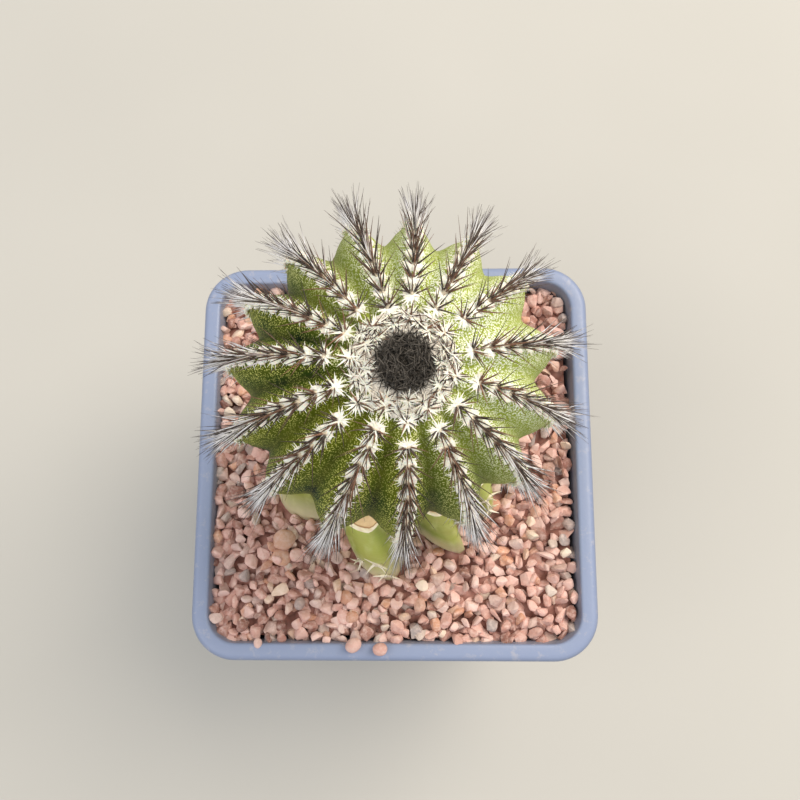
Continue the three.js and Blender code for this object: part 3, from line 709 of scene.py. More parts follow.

# %% [markdown]
# The skin of this plant is olive green and covered in tiny waxy flecks, under 0.3 mm wide and as far
# apart. It is painted darker in the valleys, where the flecks fade out too: painted shade. A cell
# pattern gives each fleck its place, and noise breaks them up so that they don't look printed.
# Towards the crown and on the side that faces the lamp the flecks run together and turn almost
# white, and on that side the skin under them turns yellow-green: this paling is painted light.

# %% Flecked skin
flecked_skin, tree, place = new_finish("flecked_scion_skin")
warp = add(tree, "ShaderNodeTexNoise", {"Vector": place, "Scale": 2200.0, "Detail": 1.0})
shifted = vectors(tree, "MULTIPLY_ADD", warp.outputs["Color"], (0.12 * MM,) * 3, place)
cells = add(tree, "ShaderNodeTexVoronoi", {"Vector": shifted, "Scale": 3600.0}).outputs
patch = grain(tree, place, 1.6, 2)
cloud = grain(tree, place, 6, 3)
valley, rise = attribute(tree, "in_valley"), attribute(tree, "rise")
# The side towards the lamp is painted paler and yellower, more so higher up: painted light.
lamp_way = vectors(tree, "DOT_PRODUCT", place, (0.8, 0.6, 0))
painted_sunlight = maths(tree, "MULTIPLY", span(tree, lamp_way, -0.004, 0.015), span(tree, rise, 0.3, 0.75, 0.5, 1))
# The ramp darkens the skin into the valleys, almost to black: painted shade.
base = ramp(tree, valley, (0, "#5a6108"), (0.45, "#3b4a07"), (0.85, "#1b350d"), (1, "#0b1a08"))
base = blend_colours(tree, span(tree, cloud, 0.35, 0.7, 0, 0.5), base, "#7a7f1c")
base = blend_colours(tree, maths(tree, "MULTIPLY", painted_sunlight, 0.9), base, "#a3b14a")
# The flecks turn near-white on the side towards the lamp and round the crown: painted light.
pale = maths(tree, "MULTIPLY", painted_sunlight, span(tree, rise, 0.4, 0.8, 0.4, 1))
pale = maths(tree, "MAXIMUM", pale, span(tree, rise, 0.84, 0.95))
fleck_tint = blend_colours(tree, pale, "#cccd74", "#f4f9ee")
reach = maths(tree, "ADD", cells["Distance"], span(tree, patch, 0.3, 0.7, 0.03, -0.04))
reach = maths(tree, "SUBTRACT", reach, maths(tree, "MULTIPLY", pale, 0.15))
fleck = span(tree, reach, 0.3, 0.42, 1, 0)
fleck = maths(tree, "MULTIPLY", fleck, span(tree, cells["Color"], 0.1, 0.4, 0.45, 1))
# In the deep valleys the flecks fade out: painted shade.
out_of_shade = maths(tree, "MAXIMUM", span(tree, valley, 0.6, 0.97, 1, 0.25), pale)
fleck = maths(tree, "MULTIPLY", fleck, out_of_shade)
tint = blend_colours(tree, fleck, base, fleck_tint)
rough = span(tree, fleck, 0, 1, 0.55, 0.85)
close_finish(tree, tint, rough, bumps(tree, fleck, 0.5, 0.06),
             {"IOR": 1.4, "Specular IOR Level": 0.1, "Subsurface Weight": 0.04,
              "Subsurface Scale": 0.0008, "Subsurface Radius": (0.6, 1.0, 0.2)})
add_piece("scion_body", skin_mesh, flecked_skin, "scion_skin", "scion_body")

# %% [markdown]
# ## The combs
# Down each rib stand the areoles, one every 2.6 mm, and each carries two lobes of cream felt and a
# tuft of spines. Young areoles near the crown are stars that spread all round. With age they turn
# into a comb: the spines gather, grow longer, and point outwards and down the rib. Hair particles
# could do this, but the spines must end up as a real mesh. So one tree grows every comb: it makes
# copies of a needle at each areole and reads its lean, spread and length from curves over age.

# %% What an areole does with age
SPREAD_BY_AGE = [(0, 1), (0.15, 1), (0.22, 0.5), (0.3, 0.3), (0.55, 0.17), (1, 0.13)]
LEAN_BY_AGE = [(0, 1), (0.15, 0.98), (0.24, 0.87), (0.6, 0.73), (1, 0.66)]
LENGTH_BY_AGE = [(0, 0.3), (0.15, 0.33), (0.22, 0.47), (0.32, 0.64), (0.45, 0.8), (0.75, 0.98), (1, 0.86)]
THICKNESS_BY_AGE = [(0, 1), (0.25, 0.95), (0.6, 0.72), (1, 0.66)]
LOBE_BY_AGE = [(0, 0.55), (0.2, 0.75), (0.4, 1.3), (1, 1.25)]
DROOP_BY_AGE = [(0, 0), (0.2, 0.3), (0.5, 1), (1, 1)]
LONGEST_SPINE, WIDEST_LEAN = 8.2 * MM, math.radians(80)
SPINE_SCATTER, LOBE_ASIDE, LOBE_SUNK = 0.22 * MM, 0.72 * MM, 0.12 * MM
tree, given = new_tree("areoles", {
    "Spines": 11, "Spine radius": 0.165 * MM, "Spine length": 1.0, "Lean": 1.0, "Rays": 18,
    "Ray length": 2.05 * MM, "Lobe": 1.0, "Seed": 1})
areole_tree = tree
out_way, down_way = (carried(tree, name, "FLOAT_VECTOR") for name in ("out", "down"))
side_way = vectors(tree, "CROSS_PRODUCT", out_way, down_way)
age = carried(tree, "age")


def over_age(points, scale):
    """A curve over the areole's age, times a scale"""
    return maths(tree, "MULTIPLY", on_curve(tree, age, points), scale)


def aimed(turn, tip):
    """The way that leans from out by one angle, turned round out from down by another"""
    shares = (maths(tree, "COSINE", tip),
              maths(tree, "MULTIPLY", maths(tree, "SINE", tip), maths(tree, "COSINE", turn)),
              maths(tree, "MULTIPLY", maths(tree, "SINE", tip), maths(tree, "SINE", turn)))
    parts = [vectors(tree, "SCALE", *pair) for pair in zip((out_way, down_way, side_way), shares)]
    return vectors(tree, "ADD", vectors(tree, "ADD", *parts[:2]), parts[2])


print("an old spine is", round(LONGEST_SPINE / MM * LENGTH_BY_AGE[-1][1], 1), "mm long before chance")

# %% Helpers that copy, turn and plant
def chance(low, high, salt, vector=False):
    """A random number or vector of its own for each copy, in the tree that is being made"""
    start = 0 if vector else 2
    inputs = {start: low, start + 1: high, "Seed": maths(tree, "ADD", given["Seed"], salt)}
    kind = "FLOAT_VECTOR" if vector else "FLOAT"
    return add(tree, "FunctionNodeRandomValue", inputs, data_type=kind).outputs[0 if vector else 1]


def copied(amount):
    """Copies of every seed, and the place of each copy in its row"""
    inputs = {"Geometry": given["Geometry"], "Amount": amount}
    node = add(tree, "GeometryNodeDuplicateElements", inputs, domain="POINT")
    return node.outputs[0], node.outputs[1]


def facing(way, side=None):
    """A turn that points Z along one way and, when there is a second, Y as near to it as it can"""
    turn = add(tree, "FunctionNodeAlignRotationToVector", {"Vector": way}, axis="Z").outputs[0]
    if side is None:
        return turn
    inputs = {"Rotation": turn, "Vector": side}
    node = add(tree, "FunctionNodeAlignRotationToVector", inputs, axis="Y", pivot_axis="Z")
    return node.outputs[0]


def spun(turn, angle):
    """A turn with a spin about its own Z before it"""
    spin = add(tree, "FunctionNodeAxisAngleToRotation", {"Axis": (0, 0, 1), "Angle": angle})
    inputs = {"Rotation": turn, "Rotate By": spin.outputs[0]}
    return add(tree, "FunctionNodeRotateRotation", inputs, rotation_space="LOCAL").outputs[0]


def planted(points, instance, turn, size, picked=None):
    """An instance on every point, turned and sized. A picked number chooses one out of several"""
    inputs = {"Points": points, "Instance": instance, "Rotation": turn, "Scale": size}
    if picked is not None:
        inputs.update({"Pick Instance": True, "Instance Index": picked})
    return add(tree, "GeometryNodeInstanceOnPoints", inputs).outputs[0]


def realized(tree, geometry):
    return add(tree, "GeometryNodeRealizeInstances", {"Geometry": geometry}).outputs[0]


def coated(tree, geometry, finish):
    inputs = {"Geometry": geometry, "Material": finish}
    return add(tree, "GeometryNodeSetMaterial", inputs).outputs[0]


print("planting helpers ready")

# %% The spines of an areole
copies, row_place = copied(given["Spines"])
order = maths(tree, "DIVIDE", maths(tree, "ADD", row_place, 0.5), given["Spines"])
even = maths(tree, "MULTIPLY", maths(tree, "SUBTRACT", order, 0.5), 2.0)
spread = over_age(SPREAD_BY_AGE, math.pi)
turn = maths(tree, "ADD", maths(tree, "MULTIPLY", even, spread), chance(-0.17, 0.17, 1))
tip = maths(tree, "MULTIPLY", over_age(LEAN_BY_AGE, WIDEST_LEAN),
            maths(tree, "MULTIPLY", given["Lean"], chance(0.75, 1.1, 2)))
length = maths(tree, "MULTIPLY", over_age(LENGTH_BY_AGE, LONGEST_SPINE),
               maths(tree, "MULTIPLY", given["Spine length"], chance(0.7, 1.1, 3)))
stout = maths(tree, "MULTIPLY", over_age(THICKNESS_BY_AGE, given["Spine radius"]), chance(0.8, 1.2, 7))
shaded = stored(tree, copies, "shade", chance(0.0, 1.0, 4))
jitter = chance((-SPINE_SCATTER,) * 3, (SPINE_SCATTER,) * 3, 5, vector=True)
spine_seats = moved(tree, shaded, Offset=jitter)
needle = add(tree, "GeometryNodeMeshCone", {"Vertices": 4, "Side Segments": 4, "Radius Top": 0.12,
                                            "Radius Bottom": 1.0, "Depth": 1.0}).outputs["Mesh"]
up = spot_axes(tree)["Z"]
bow = vector_of(tree, X=maths(tree, "MULTIPLY", maths(tree, "MULTIPLY", up, up), 2.6))
bowed = moved(tree, stored(tree, needle, "along", up), Offset=bow)
spine_turn = spun(facing(aimed(turn, tip)), chance(0.0, 6.28, 6))
spine_size = vector_of(tree, X=stout, Y=stout, Z=length)
spines = planted(spine_seats, shaded_smooth(tree, bowed), spine_turn, spine_size)
print("spines drawn")

# %% [markdown]
# The felt is wool that the plant spins at each areole. Up close it is a white star: flat wedges
# that lie on the skin all round, over two low lobes left and right of the rib's edge.

# %% Felt lobes and rays
lobe_copies, lobe_place = copied(2)
which = maths(tree, "SUBTRACT", maths(tree, "MULTIPLY", lobe_place, 2.0), 1.0)
aside = vectors(tree, "SCALE", side_way, maths(tree, "MULTIPLY", which, LOBE_ASIDE))
sunk = vectors(tree, "SCALE", out_way, -LOBE_SUNK)
lobe_seats = moved(tree, lobe_copies, Offset=vectors(tree, "ADD", aside, sunk))
blob = add(tree, "GeometryNodeMeshIcoSphere", {"Radius": 1.0, "Subdivisions": 2}).outputs["Mesh"]
splay = maths(tree, "MULTIPLY", which, maths(tree, "ADD", 0.25, chance(-0.12, 0.12, 8)))
plump = maths(tree, "MULTIPLY", over_age(LOBE_BY_AGE, MM), chance(0.85, 1.12, 9))
lobe_size = vectors(tree, "SCALE", (0.6, 1.02, 0.3), maths(tree, "MULTIPLY", given["Lobe"], plump))
lobes = planted(lobe_seats, blob, spun(facing(out_way, down_way), splay), lobe_size)
ray_copies, ray_place = copied(given["Rays"])
ray_order = maths(tree, "DIVIDE", ray_place, given["Rays"])
ray_turn = maths(tree, "MULTIPLY_ADD", ray_order, math.tau, chance(-0.16, 0.16, 10))
sideways = maths(tree, "ABSOLUTE", maths(tree, "SINE", ray_turn))
droop = maths(tree, "MULTIPLY", sideways, over_age(DROOP_BY_AGE, 0.42))
ray_way = aimed(ray_turn, maths(tree, "ADD", chance(1.22, 1.48, 11), droop))
along_rib = vectors(tree, "SCALE", down_way, chance(-0.3 * MM, 0.3 * MM, 12))
raised = vectors(tree, "SCALE", out_way, chance(0.0, 0.2 * MM, 13))
ray_seats = moved(tree, ray_copies, Offset=vectors(tree, "ADD", along_rib, raised))
wedge = add(tree, "GeometryNodeMeshCone", {"Vertices": 4, "Side Segments": 1, "Radius Top": 0.0,
                                           "Radius Bottom": 1.0, "Depth": 1.0}, fill_type="NONE")
ray_length = maths(tree, "MULTIPLY", given["Ray length"], chance(0.75, 1.12, 14))
ray_size = vector_of(tree, X=chance(0.18 * MM, 0.27 * MM, 15), Y=0.07 * MM, Z=ray_length)
rays = planted(ray_seats, wedge.outputs["Mesh"], facing(ray_way, out_way), ray_size)
print("felt drawn")

# %% [markdown]
# A spine is keratin-like and glossy. A young one is brown-black over a cream foot. An old one
# bleaches to silver grey from its foot upwards and keeps its dark tip. The tree stored how far up
# the needle each point is, the areole's age, and a random shade. Felt is matt wool with a little
# sheen.

# %% Spine and felt finishes
def spine_finish(name, foot, young, second_tint_and_glint, oldest, gloss=0.35):
    """Keratin that is dark when young and bleaches with age"""
    material, tree, place = new_finish(name)
    along, age, shade = (attribute(tree, stored_name) for stored_name in ("along", "age", "shade"))
    # The second tint goes to a few needles. On comb spines it is a real brown; on the black crown spines it
    # is grey and stands in for glints: painted highlight.
    brown = blend_colours(tree, maths(tree, "POWER", shade, 2.5), young, second_tint_and_glint)
    dark = blend_colours(tree, span(tree, along, 0.04, 0.14), foot, brown)
    pale = ramp(tree, along, (0, "#f2eee6"), (0.5, "#e4e4ea"), (0.74, "#a7a4a8"), (0.88, "#3b3231"),
                (1, "#241c1b"))
    score = maths(tree, "MULTIPLY_ADD", age, 1.6, maths(tree, "MULTIPLY", shade, 0.7))
    tint = blend_colours(tree, span(tree, score, 1.23, 1.33, 0, oldest), dark, pale)
    fine = grain(tree, place, 0.12, 1)
    tint = blend_colours(tree, span(tree, fine, 0.4, 0.75, 0, 0.15), tint, "#cbbba8")
    rough = span(tree, fine, 0.3, 0.7, 0.35, 0.5)
    close_finish(tree, tint, rough, bumps(tree, fine, 0.3, 0.02), {"IOR": 1.5, "Specular IOR Level": gloss})
    return material


comb_spine = spine_finish("bleaching_spine_keratin", "#e8dcc6", "#20140e", "#7a523b", 1)
wool, tree, place = new_finish("spun_areole_wool")
tuft_grain = grain(tree, place, 0.35, 2)
soft_grain = grain(tree, place, 3, 2)
tint = blend_colours(tree, span(tree, tuft_grain, 0.3, 0.7), "#f3ead8", "#fffaf0")
tint = blend_colours(tree, span(tree, soft_grain, 0.4, 0.7, 0, 0.4), tint, "#e6dcc4")
rough = span(tree, tuft_grain, 0.3, 0.7, 0.85, 1)
close_finish(tree, tint, rough, bumps(tree, tuft_grain, 0.8, 0.15),
             {"IOR": 1.4, "Sheen Weight": 0.3, "Sheen Roughness": 0.5, "Subsurface Weight": 0.2,
              "Subsurface Scale": 0.0008})
print("spine and felt finishes ready")

# %% Close the areole tree
tree = areole_tree
knobs = add(tree, "ShaderNodeTexNoise", {"Scale": 2600.0, "Detail": 1.0}).outputs[0]
bulge = maths(tree, "MULTIPLY", maths(tree, "SUBTRACT", knobs, 0.45), 0.5 * MM)
outward = add(tree, "GeometryNodeInputNormal").outputs[0]
lumpy = moved(tree, realized(tree, lobes), Offset=vectors(tree, "SCALE", outward, bulge))
dressed = [coated(tree, realized(tree, spines), comb_spine), coated(tree, lumpy, wool),
           coated(tree, realized(tree, rays), wool)]
whole = add(tree, "GeometryNodeJoinGeometry", {"Geometry": dressed})
add(tree, "NodeGroupOutput", {"Geometry": whole.outputs[0]})
print("areole tree has", len(tree.nodes), "nodes")

# %% Grow a comb on every rib
AREOLE_PITCH, SECOND_AREOLE, LAST_AREOLE = 2.6, 3.5, 55
FIRST_AREOLES = [8.3, 6.4, 8.3, 6.4, 7.4, 5.9, 6.6, 4.8, 6.5, 5.4, 6.9, 6.1, 7.2, 6.0, 7.1]
turn_only = graft_turn.to_matrix()


def areole_seeds(spots, ages):
    """Seeds for the areole tree from spots that hold a place and the ways out and down"""
    places, outs, downs = zip(*spots)
    return seed_mesh(places, out=outs, down=downs, age=ages)


def areole_spot(rib, length):
    """Where an areole sits, with the ways out of the skin and down the rib"""
    step = next(i for i, reached in enumerate(edge_lengths) if reached >= length)
    angle = edge_angles[step]
    turn = math.radians(RIB_DIRECTIONS[rib])
    oval = Vector((oval_share(turn), 1))
    here, ahead = rib_edge(angle, SEAT_DEPTH) * oval, rib_edge(angle - 0.01, SEAT_DEPTH) * oval
    along = (ahead - here).normalized()
    flat = Vector((math.cos(turn), math.sin(turn), 0))
    seat = flat * here.x + Vector((0, 0, here.y))
    down = flat * along.x + Vector((0, 0, along.y))
    out = flat * -along.y + Vector((0, 0, along.x))
    return into_place @ (seat * MM), turn_only @ out, turn_only @ down


for rib in range(RIBS):
    clockwise = (RIBS - rib) % RIBS
    first = FIRST_AREOLES[clockwise]
    lengths = [first, first + SECOND_AREOLE]
    while lengths[-1] < LAST_AREOLE:
        lengths.append(lengths[-1] + AREOLE_PITCH)
    ages = [min((length - first + 6) / 44, 1) for length in lengths]
    seeds = areole_seeds([areole_spot(rib, length) for length in lengths], ages)
    mesh = grown("comb", seeds, areole_tree, {"Seed": 17 * rib + 3})
    name = f"rib_comb_{rib + 1:02d}"
    add_piece(name, mesh, None, "comb_spines", name)
print("combs grown")

# %% [markdown]
# The column's own areoles are few: one every 12 mm down a rib's crest, each a dot of cream felt with
# stout, blunt, cream spines. The same tree grows them, with fewer, thicker and shorter needles.

# %% Spines of the rootstock
STOCK_AREOLES = [(rib, 85 + 4 * (rib % 2) + 12 * step) for rib in range(2, 7) for step in (0, 1)]
STOCK_AREOLES += [(0, 80), (-0.03, 88), (-0.16, 84)]
cream_spine = spine_finish("cream_rootstock_spine", "#e9dfc8", "#ded3bb", "#f1e9d6", 0)


def stock_spot(rib, z):
    """Where an areole of the rootstock sits, with the ways out of the skin and down the rib"""
    seat, below = stock_point(rib, z, 0.2), stock_point(rib, z - 2)
    down = (below - seat).normalized()
    out = seat - stock_axis(z)
    return seat * MM, (out - down * out.dot(down)).normalized(), down


def change_spines(mesh, finish):
    """Gives the spines that a tree has grown another finish than that of the combs"""
    for index, grown_finish in enumerate(mesh.materials):
        if grown_finish == comb_spine:
            mesh.materials[index] = finish


stock_seeds = areole_seeds([stock_spot(rib, z) for rib, z in STOCK_AREOLES], [0.1] * len(STOCK_AREOLES))
stock_spines = grown("stock_spines", stock_seeds, areole_tree, {
    "Spines": 5, "Spine radius": 0.5 * MM, "Spine length": 1.25, "Rays": 10, "Ray length": 0.9 * MM,
    "Lobe": 0.6, "Seed": 900})
change_spines(stock_spines, cream_spine)
add_piece("rootstock_spines", stock_spines, None, "rootstock_skin", "rootstock")

# %% [markdown]
# ## The crown
# New areoles form at the top, packed in a spiral, and their spines are black and stand up in a
# tuft. Under them lies a cushion of pale wool, painted nearly black as shade where the tuft covers
# it, and round them a bright woolly ring. The same tree grows tuft and ring, with stiffer or
# woollier settings, from seeds on a golden-angle spiral, which is how such growing points pack.

# %% The crown's wool cushion
CROWN_RADIUS, CROWN_RISE, CROWN_SPLAY, CUSHION_MIDDLE = 7.3, 1.1, 0.15, 0.2
CUSHION_RINGS, CUSHION_SPOTS, CUSHION_HEM = 16, 60, 0.8


def crown_spot(radius, turn):
    """A place on the cushion, with the way out of it and the way down from the middle"""
    step = min(range(len(edge_angles)), key=lambda i: abs(rib_edge(edge_angles[i], SEAT_DEPTH).x - radius))
    skin = rib_edge(edge_angles[step], SEAT_DEPTH)
    bulge = CROWN_RISE * smooth(CROWN_RADIUS - radius, 0, CROWN_RADIUS * 0.8)
    flat = Vector((math.cos(turn), math.sin(turn), 0))
    place = flat * radius + Vector((0, 0, skin.y + bulge - 0.1))
    slope = CROWN_SPLAY * radius
    out = (Vector((0, 0, 1)) + flat * slope).normalized()
    down = (flat - Vector((0, 0, slope))).normalized()
    return into_place @ (place * MM), turn_only @ out, turn_only @ down


cushion_radii = [mix(CROWN_RADIUS, CUSHION_MIDDLE, r / (CUSHION_RINGS - 1)) for r in range(CUSHION_RINGS)]
cushion_rings = []
for r, radius in enumerate(cushion_radii):
    ring = []
    for i in range(CUSHION_SPOTS):
        turn = i * math.tau / CUSHION_SPOTS
        wobble = 1 + 0.1 * noise.noise(Vector((3 * math.cos(turn), 3 * math.sin(turn), r / 9)))
        ring.append(crown_spot(radius * wobble, turn)[0] / MM)
    cushion_rings.append(ring)
cushion_rings.insert(0, [p - lean * CUSHION_HEM for p in cushion_rings[0]])
out_mm = [radius for radius in (CROWN_RADIUS, *cushion_radii) for _ in range(CUSHION_SPOTS)]
cushion_mesh = loft(cushion_rings, {"out": out_mm})
cushion_mesh.shade_smooth()
crown_wool, tree, place = new_finish("crown_wool_with_painted_shade")
strand = grain(tree, place, 0.3, 3, 0.7)
tint = ramp(tree, strand, (0.3, "#9a9186"), (0.44, "#d2cabf"), (0.6, "#f2ece1"), (1, "#fdfaf3"))
# The middle of the cushion, under the tuft, is painted nearly black: painted shade.
tint = blend_colours(tree, span(tree, attribute(tree, "out"), 3.3, 4.4, 0.95, 0), tint, "#0f0d0c")
rough = span(tree, strand, 0.3, 0.7, 0.9, 1)
close_finish(tree, tint, rough, bumps(tree, strand, 1.0, 0.3), {"Sheen Weight": 0.2})
add_piece("crown_wool", cushion_mesh, crown_wool, "crown_spines", "crown_tuft")

# %% The black tuft and the woolly ring round it
TUFT_SEEDS, TUFT_RADIUS = 90, 3.8
RING_SEEDS, RING_START, RING_WIDTH = 26, 4.8, 2.6
GOLDEN = math.pi * (3 - math.sqrt(5))
# The grey second tint of these black spines is a painted highlight for glints on the glossy needles.
black_spine = spine_finish("black_crown_spine_keratin", "#12100f", "#020202", "#6a655f", 0, 0.3)
tuft_spots = [crown_spot(TUFT_RADIUS * math.sqrt((i + 0.5) / TUFT_SEEDS), i * GOLDEN)
              for i in range(TUFT_SEEDS)]
tuft_mesh = grown("tuft", areole_seeds(tuft_spots, [0.0] * TUFT_SEEDS), areole_tree, {
    "Spines": 6, "Spine radius": 0.13 * MM, "Lean": 0.85, "Spine length": 0.9, "Rays": 0,
    "Ray length": 0.8 * MM, "Lobe": 0.02, "Seed": 400})
change_spines(tuft_mesh, black_spine)
add_piece("crown_tuft", tuft_mesh, None, "crown_spines", "crown_tuft")
ring_spots = [crown_spot(RING_START + RING_WIDTH * i / RING_SEEDS, i * GOLDEN) for i in range(RING_SEEDS)]
ring_mesh = grown("ring", areole_seeds(ring_spots, [0.05] * RING_SEEDS), areole_tree, {
    "Spines": 8, "Spine radius": 0.13 * MM, "Lean": 0.98, "Spine length": 1.0, "Rays": 24, "Lobe": 0.9,
    "Seed": 700})
add_piece("crown_ring", ring_mesh, None, "crown_spines", "crown_tuft")

# %% [markdown]
# ## The grit
# The pot is filled with crushed pink stone of 2 to 4 mm. A rock could be sculpted, but crushed
# stone is simply what is left when random planes meet, so the tree takes a handful of random
# points, wraps them in their convex hull, and rounds the edges once. Eight kinds of grain are
# scattered over the bed in two layers with a fixed least distance, each grain turned, stretched
# and shaded by chance.

# %% Where grains may lie
GRIT_BED, GRIT_SLOPE, BED_STEP = 77.2, 0.01, 1.5
BED_HALF, BED_CORNER, STOCK_GAP = POT_MOUTH / 2 - 0.4, 5, 1.0


def bed_level(y):
    return GRIT_BED - GRIT_SLOPE * y


def stock_reach(x, y, z):
    """How far a place lies outside the rootstock's skin, in mm"""
    away = Vector((x, y, z)) - stock_axis(z)
    turn = math.degrees(math.atan2(away.y, away.x) + STOCK_TWIST * stock_share(z))
    ribs = STOCK_DIRECTIONS + [STOCK_DIRECTIONS[0] + 360]
    turn += 360 if turn < ribs[0] else 0
    rib = next(i for i in range(len(STOCK_DIRECTIONS)) if turn <= ribs[i + 1])
    along = (turn - ribs[rib]) / (ribs[rib + 1] - ribs[rib])
    return away.length - stock_radius(rib + along, z)


bed_verts, bed_faces = [], []
cells_across = int(2 * BED_HALF / BED_STEP)
for column in range(cells_across):
    for row in range(cells_across):
        x, y = -BED_HALF + (column + 0.5) * BED_STEP, -BED_HALF + (row + 0.5) * BED_STEP
        corner_gap = math.hypot(*(max(abs(v) - BED_HALF + BED_CORNER, 0) for v in (x, y)))
        if corner_gap > BED_CORNER or stock_reach(x, y, bed_level(y)) < STOCK_GAP:
            continue
        start = len(bed_verts)
        for dx, dy in ((-1, -1), (1, -1), (1, 1), (-1, 1)):
            spot = (x + dx * BED_STEP / 2, y + dy * BED_STEP / 2)
            bed_verts.append(Vector((*spot, bed_level(spot[1]))) * MM)
        bed_faces.append((start, start + 1, start + 2, start + 3))
bed = bpy.data.meshes.new("bed")
bed.from_pydata(bed_verts, [], bed_faces)
print("bed cells", len(bed_faces))

# %% The grain tree
GRAIN_KINDS, CHIP_CORNERS = 8, 15
tree, given = new_tree("crushed_grains", {
    "Spacing": 2.1 * MM, "Grain": 2.15 * MM, "Sink": 0.0, "Lift": 0.7 * MM, "Rounding": 1, "Seed": 5})
grain_tree = tree
kinds = []
for kind in range(GRAIN_KINDS):
    bounds = {0: (-1, -1, -1), 1: (1, 1, 1), "Seed": 31 * kind + 7}
    chips = add(tree, "FunctionNodeRandomValue", bounds, data_type="FLOAT_VECTOR").outputs[0]
    outward = vectors(tree, "NORMALIZE", chips)
    corners = add(tree, "GeometryNodePoints", {"Count": CHIP_CORNERS, "Position": outward}).outputs[0]
    hull = add(tree, "GeometryNodeConvexHull", {"Geometry": corners}).outputs[0]
    inputs = {"Mesh": hull, "Level": given["Rounding"], "Edge Crease": 0.55}
    rounded = add(tree, "GeometryNodeSubdivisionSurface", inputs).outputs[0]
    kinds.append(add(tree, "GeometryNodeGeometryToInstance", {"Geometry": rounded}).outputs[0])
pile = add(tree, "GeometryNodeJoinGeometry", {"Geometry": kinds}).outputs[0]
scattered = add(tree, "GeometryNodeDistributePointsOnFaces", {
    "Mesh": given["Geometry"], "Distance Min": given["Spacing"], "Density Max": 400000.0,
    "Seed": given["Seed"]}, distribute_method="POISSON").outputs[0]
lift = maths(tree, "MULTIPLY", chance(-1.0, 1.0, 1), given["Lift"])
laid = moved(tree, scattered, Offset=vector_of(tree, Z=maths(tree, "SUBTRACT", lift, given["Sink"])))
for name, salt in (("shade", 2), ("tone", 3)):
    laid = stored(tree, laid, name, chance(0.0, 1.0, salt))
stretch = chance((0.5, 0.5, 0.42), (1.25, 1.05, 0.9), 4, vector=True)
girth = vectors(tree, "SCALE", stretch, given["Grain"])
turns = chance((0, 0, 0), (6.28, 6.28, 6.28), 5, vector=True)
tumble = add(tree, "FunctionNodeEulerToRotation", {0: turns}).outputs[0]
picked = maths(tree, "MULTIPLY", chance(0.0, 0.9999, 6), float(GRAIN_KINDS))
grains = planted(laid, pile, tumble, girth, picked)
print("grain tree has", len(tree.nodes), "nodes")

# %% [markdown]
# Crushed granite of this kind is mostly pink feldspar, with brown-red, grey and cream grains among
# it, matt and finely pitted. Each grain has its own place on the ramp of colours, and the shade
# between the grains is painted dark red-brown on the body under them.

# %% Crushed pink stone
pink_stone, tree, place = new_finish("crushed_pink_granite")
pick = ramp(tree, attribute(tree, "shade"),
            (0, "#7c5147"), (0.12, "#b08074"), (0.3, "#d6a89d"), (0.5, "#e6bcb2"), (0.66, "#f2d0c8"),
            (0.78, "#c6afa9"), (0.87, "#d39a7c"), (0.93, "#eedfcc"), (0.98, "#a59b99"), (1, "#a59b99"))
speck = grain(tree, place, 0.7, 3, 0.65)
cloud = grain(tree, place, 2.2, 2)
pits = grain(tree, place, 0.3, 3, 0.6)
tint = blend_colours(tree, span(tree, speck, 0.42, 0.7, 0, 0.5), pick, "#f8e2da")
tint = blend_colours(tree, span(tree, cloud, 0.35, 0.65, 0.3, 0), tint, "#a47568")
tint = blend_colours(tree, span(tree, attribute(tree, "tone"), 0, 1, 0.2, 0), tint, "#7d564b")
rough = span(tree, speck, 0.3, 0.7, 0.75, 0.95)
close_finish(tree, tint, rough, bumps(tree, maths(tree, "ADD", speck, pits), 0.7, 0.15), {"IOR": 1.5})
print("stone finish ready")

# %% Scatter the grains in two layers
tree = grain_tree
add(tree, "NodeGroupOutput", {"Geometry": coated(tree, realized(tree, grains), pink_stone)})
top_grains = grown("grains", bed.copy(), tree, {"Seed": 5})
add_piece("grit_top_grains", top_grains, None, "grit", "grit_bed")
low_grains = grown("grains", bed, tree, {
    "Seed": 9, "Sink": 1.3 * MM, "Rounding": 0, "Grain": 2.2 * MM, "Spacing": 1.65 * MM})
add_piece("grit_low_grains", low_grains, None, "grit", "grit_bed")

# %% [markdown]
# Nine stones catch the eye in the photograph, by their colour or because they lie high against the
# rim. Chance wouldn't put them there, so each is a ball placed one by one and dented by noise.

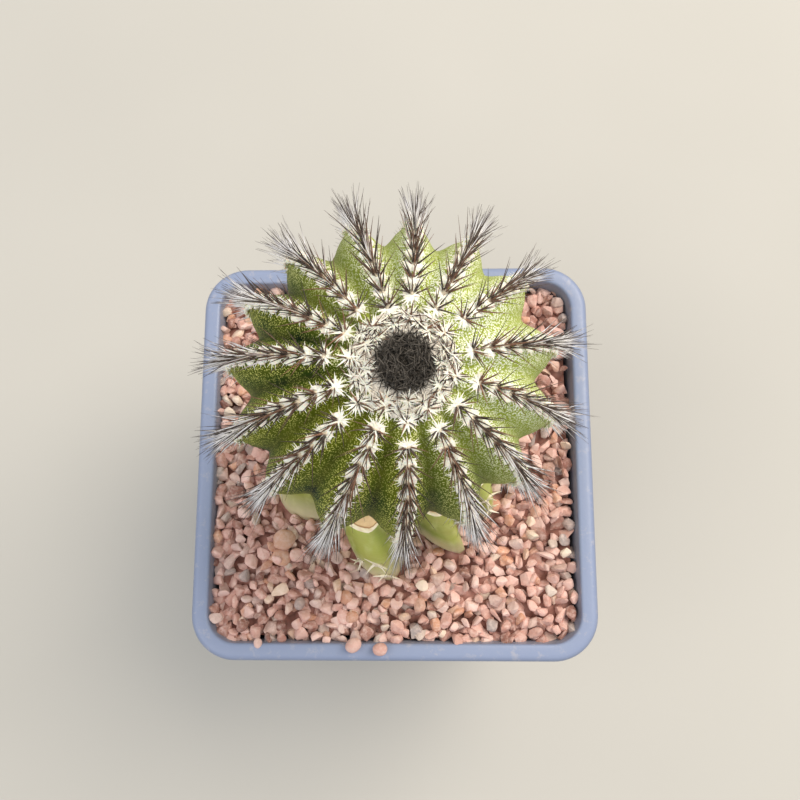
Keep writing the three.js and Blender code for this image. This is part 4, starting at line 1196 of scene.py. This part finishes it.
# %% Stones that stand out
SINGLE_STONES = [(-24.8, -18.8, 78.2, 2.6, 0.885), (-25.6, -22.6, 77.6, 2.3, 0.88),
                 (-8.8, -41.6, 81.2, 1.8, 0.5), (-2.9, -42.3, 81.2, 1.7, 0.3),
                 (-29.8, -41.2, 79.9, 1.2, 0.66), (-10.7, -31.4, 78.3, 1.7, 0.86),
                 (-9.3, -35.7, 78.2, 1.5, 0.86), (22.7, -11.1, 78.2, 1.6, 0.87),
                 (-21, -32.9, 78.2, 1.5, 0.99)]
shaper = bmesh.new()
shades = []
for x, y, z, radius, shade_value in SINGLE_STONES:
    middle = Vector((x, y, z)) * MM
    squashed = Matrix.Rotation(x, 4, "Z") @ Matrix.Diagonal((1, 0.86, 0.72, 1))
    ball = bmesh.ops.create_icosphere(shaper, subdivisions=3, radius=radius * MM,
                                      matrix=Matrix.Translation(middle) @ squashed)
    for vert in ball["verts"]:
        vert.co += (vert.co - middle) * 0.22 * noise.noise(vert.co / (2.2 * MM))
    shades += [shade_value] * len(ball["verts"])
stone_mesh = bpy.data.meshes.new("single_stones")
shaper.to_mesh(stone_mesh)
shaper.free()
stone_mesh.attributes.new("shade", "FLOAT", "POINT").data.foreach_set("value", shades)
stone_mesh.shade_smooth()
add_piece("grit_single_stones", stone_mesh, pink_stone, "grit", "grit_bed")

# %% [markdown]
# Between the grains the eye meets more grit and never the floor of the pot, so a plain body fills
# the pot under them. A cell pattern gives it light stones with dark gaps, and the dark gaps are
# painted shade.

# %% The body of the grit under the grains
grit_with_painted_shade, tree, place = new_finish("grit_body_with_painted_shade")
cell_reach = add(tree, "ShaderNodeTexVoronoi", {"Vector": place, "Scale": 380.0}).outputs["Distance"]
# The ramp runs from light stone to dark red-brown gaps between the cells: painted shade.
tint = ramp(tree, cell_reach, (0, "#c0948a"), (0.6, "#8d6055"), (1, "#4b2e27"))
close_finish(tree, tint, 0.95, bumps(tree, cell_reach, 1.0, 1.0, invert=True), {})
FILL_INSET, FILL_HEIGHTS, FILL_BRIM, FILL_DROP = 0.3, (6.6, 25, 45, 60), 71, 1.5
fill_rings = [pot_inside(z, FILL_INSET) for z in FILL_HEIGHTS]
fill_rings.append([(x, y, bed_level(y) - FILL_DROP) for x, y, _ in pot_inside(FILL_BRIM, FILL_INSET)])
add_piece("grit_body", loft(fill_rings), grit_with_painted_shade, "grit", "grit_bed")
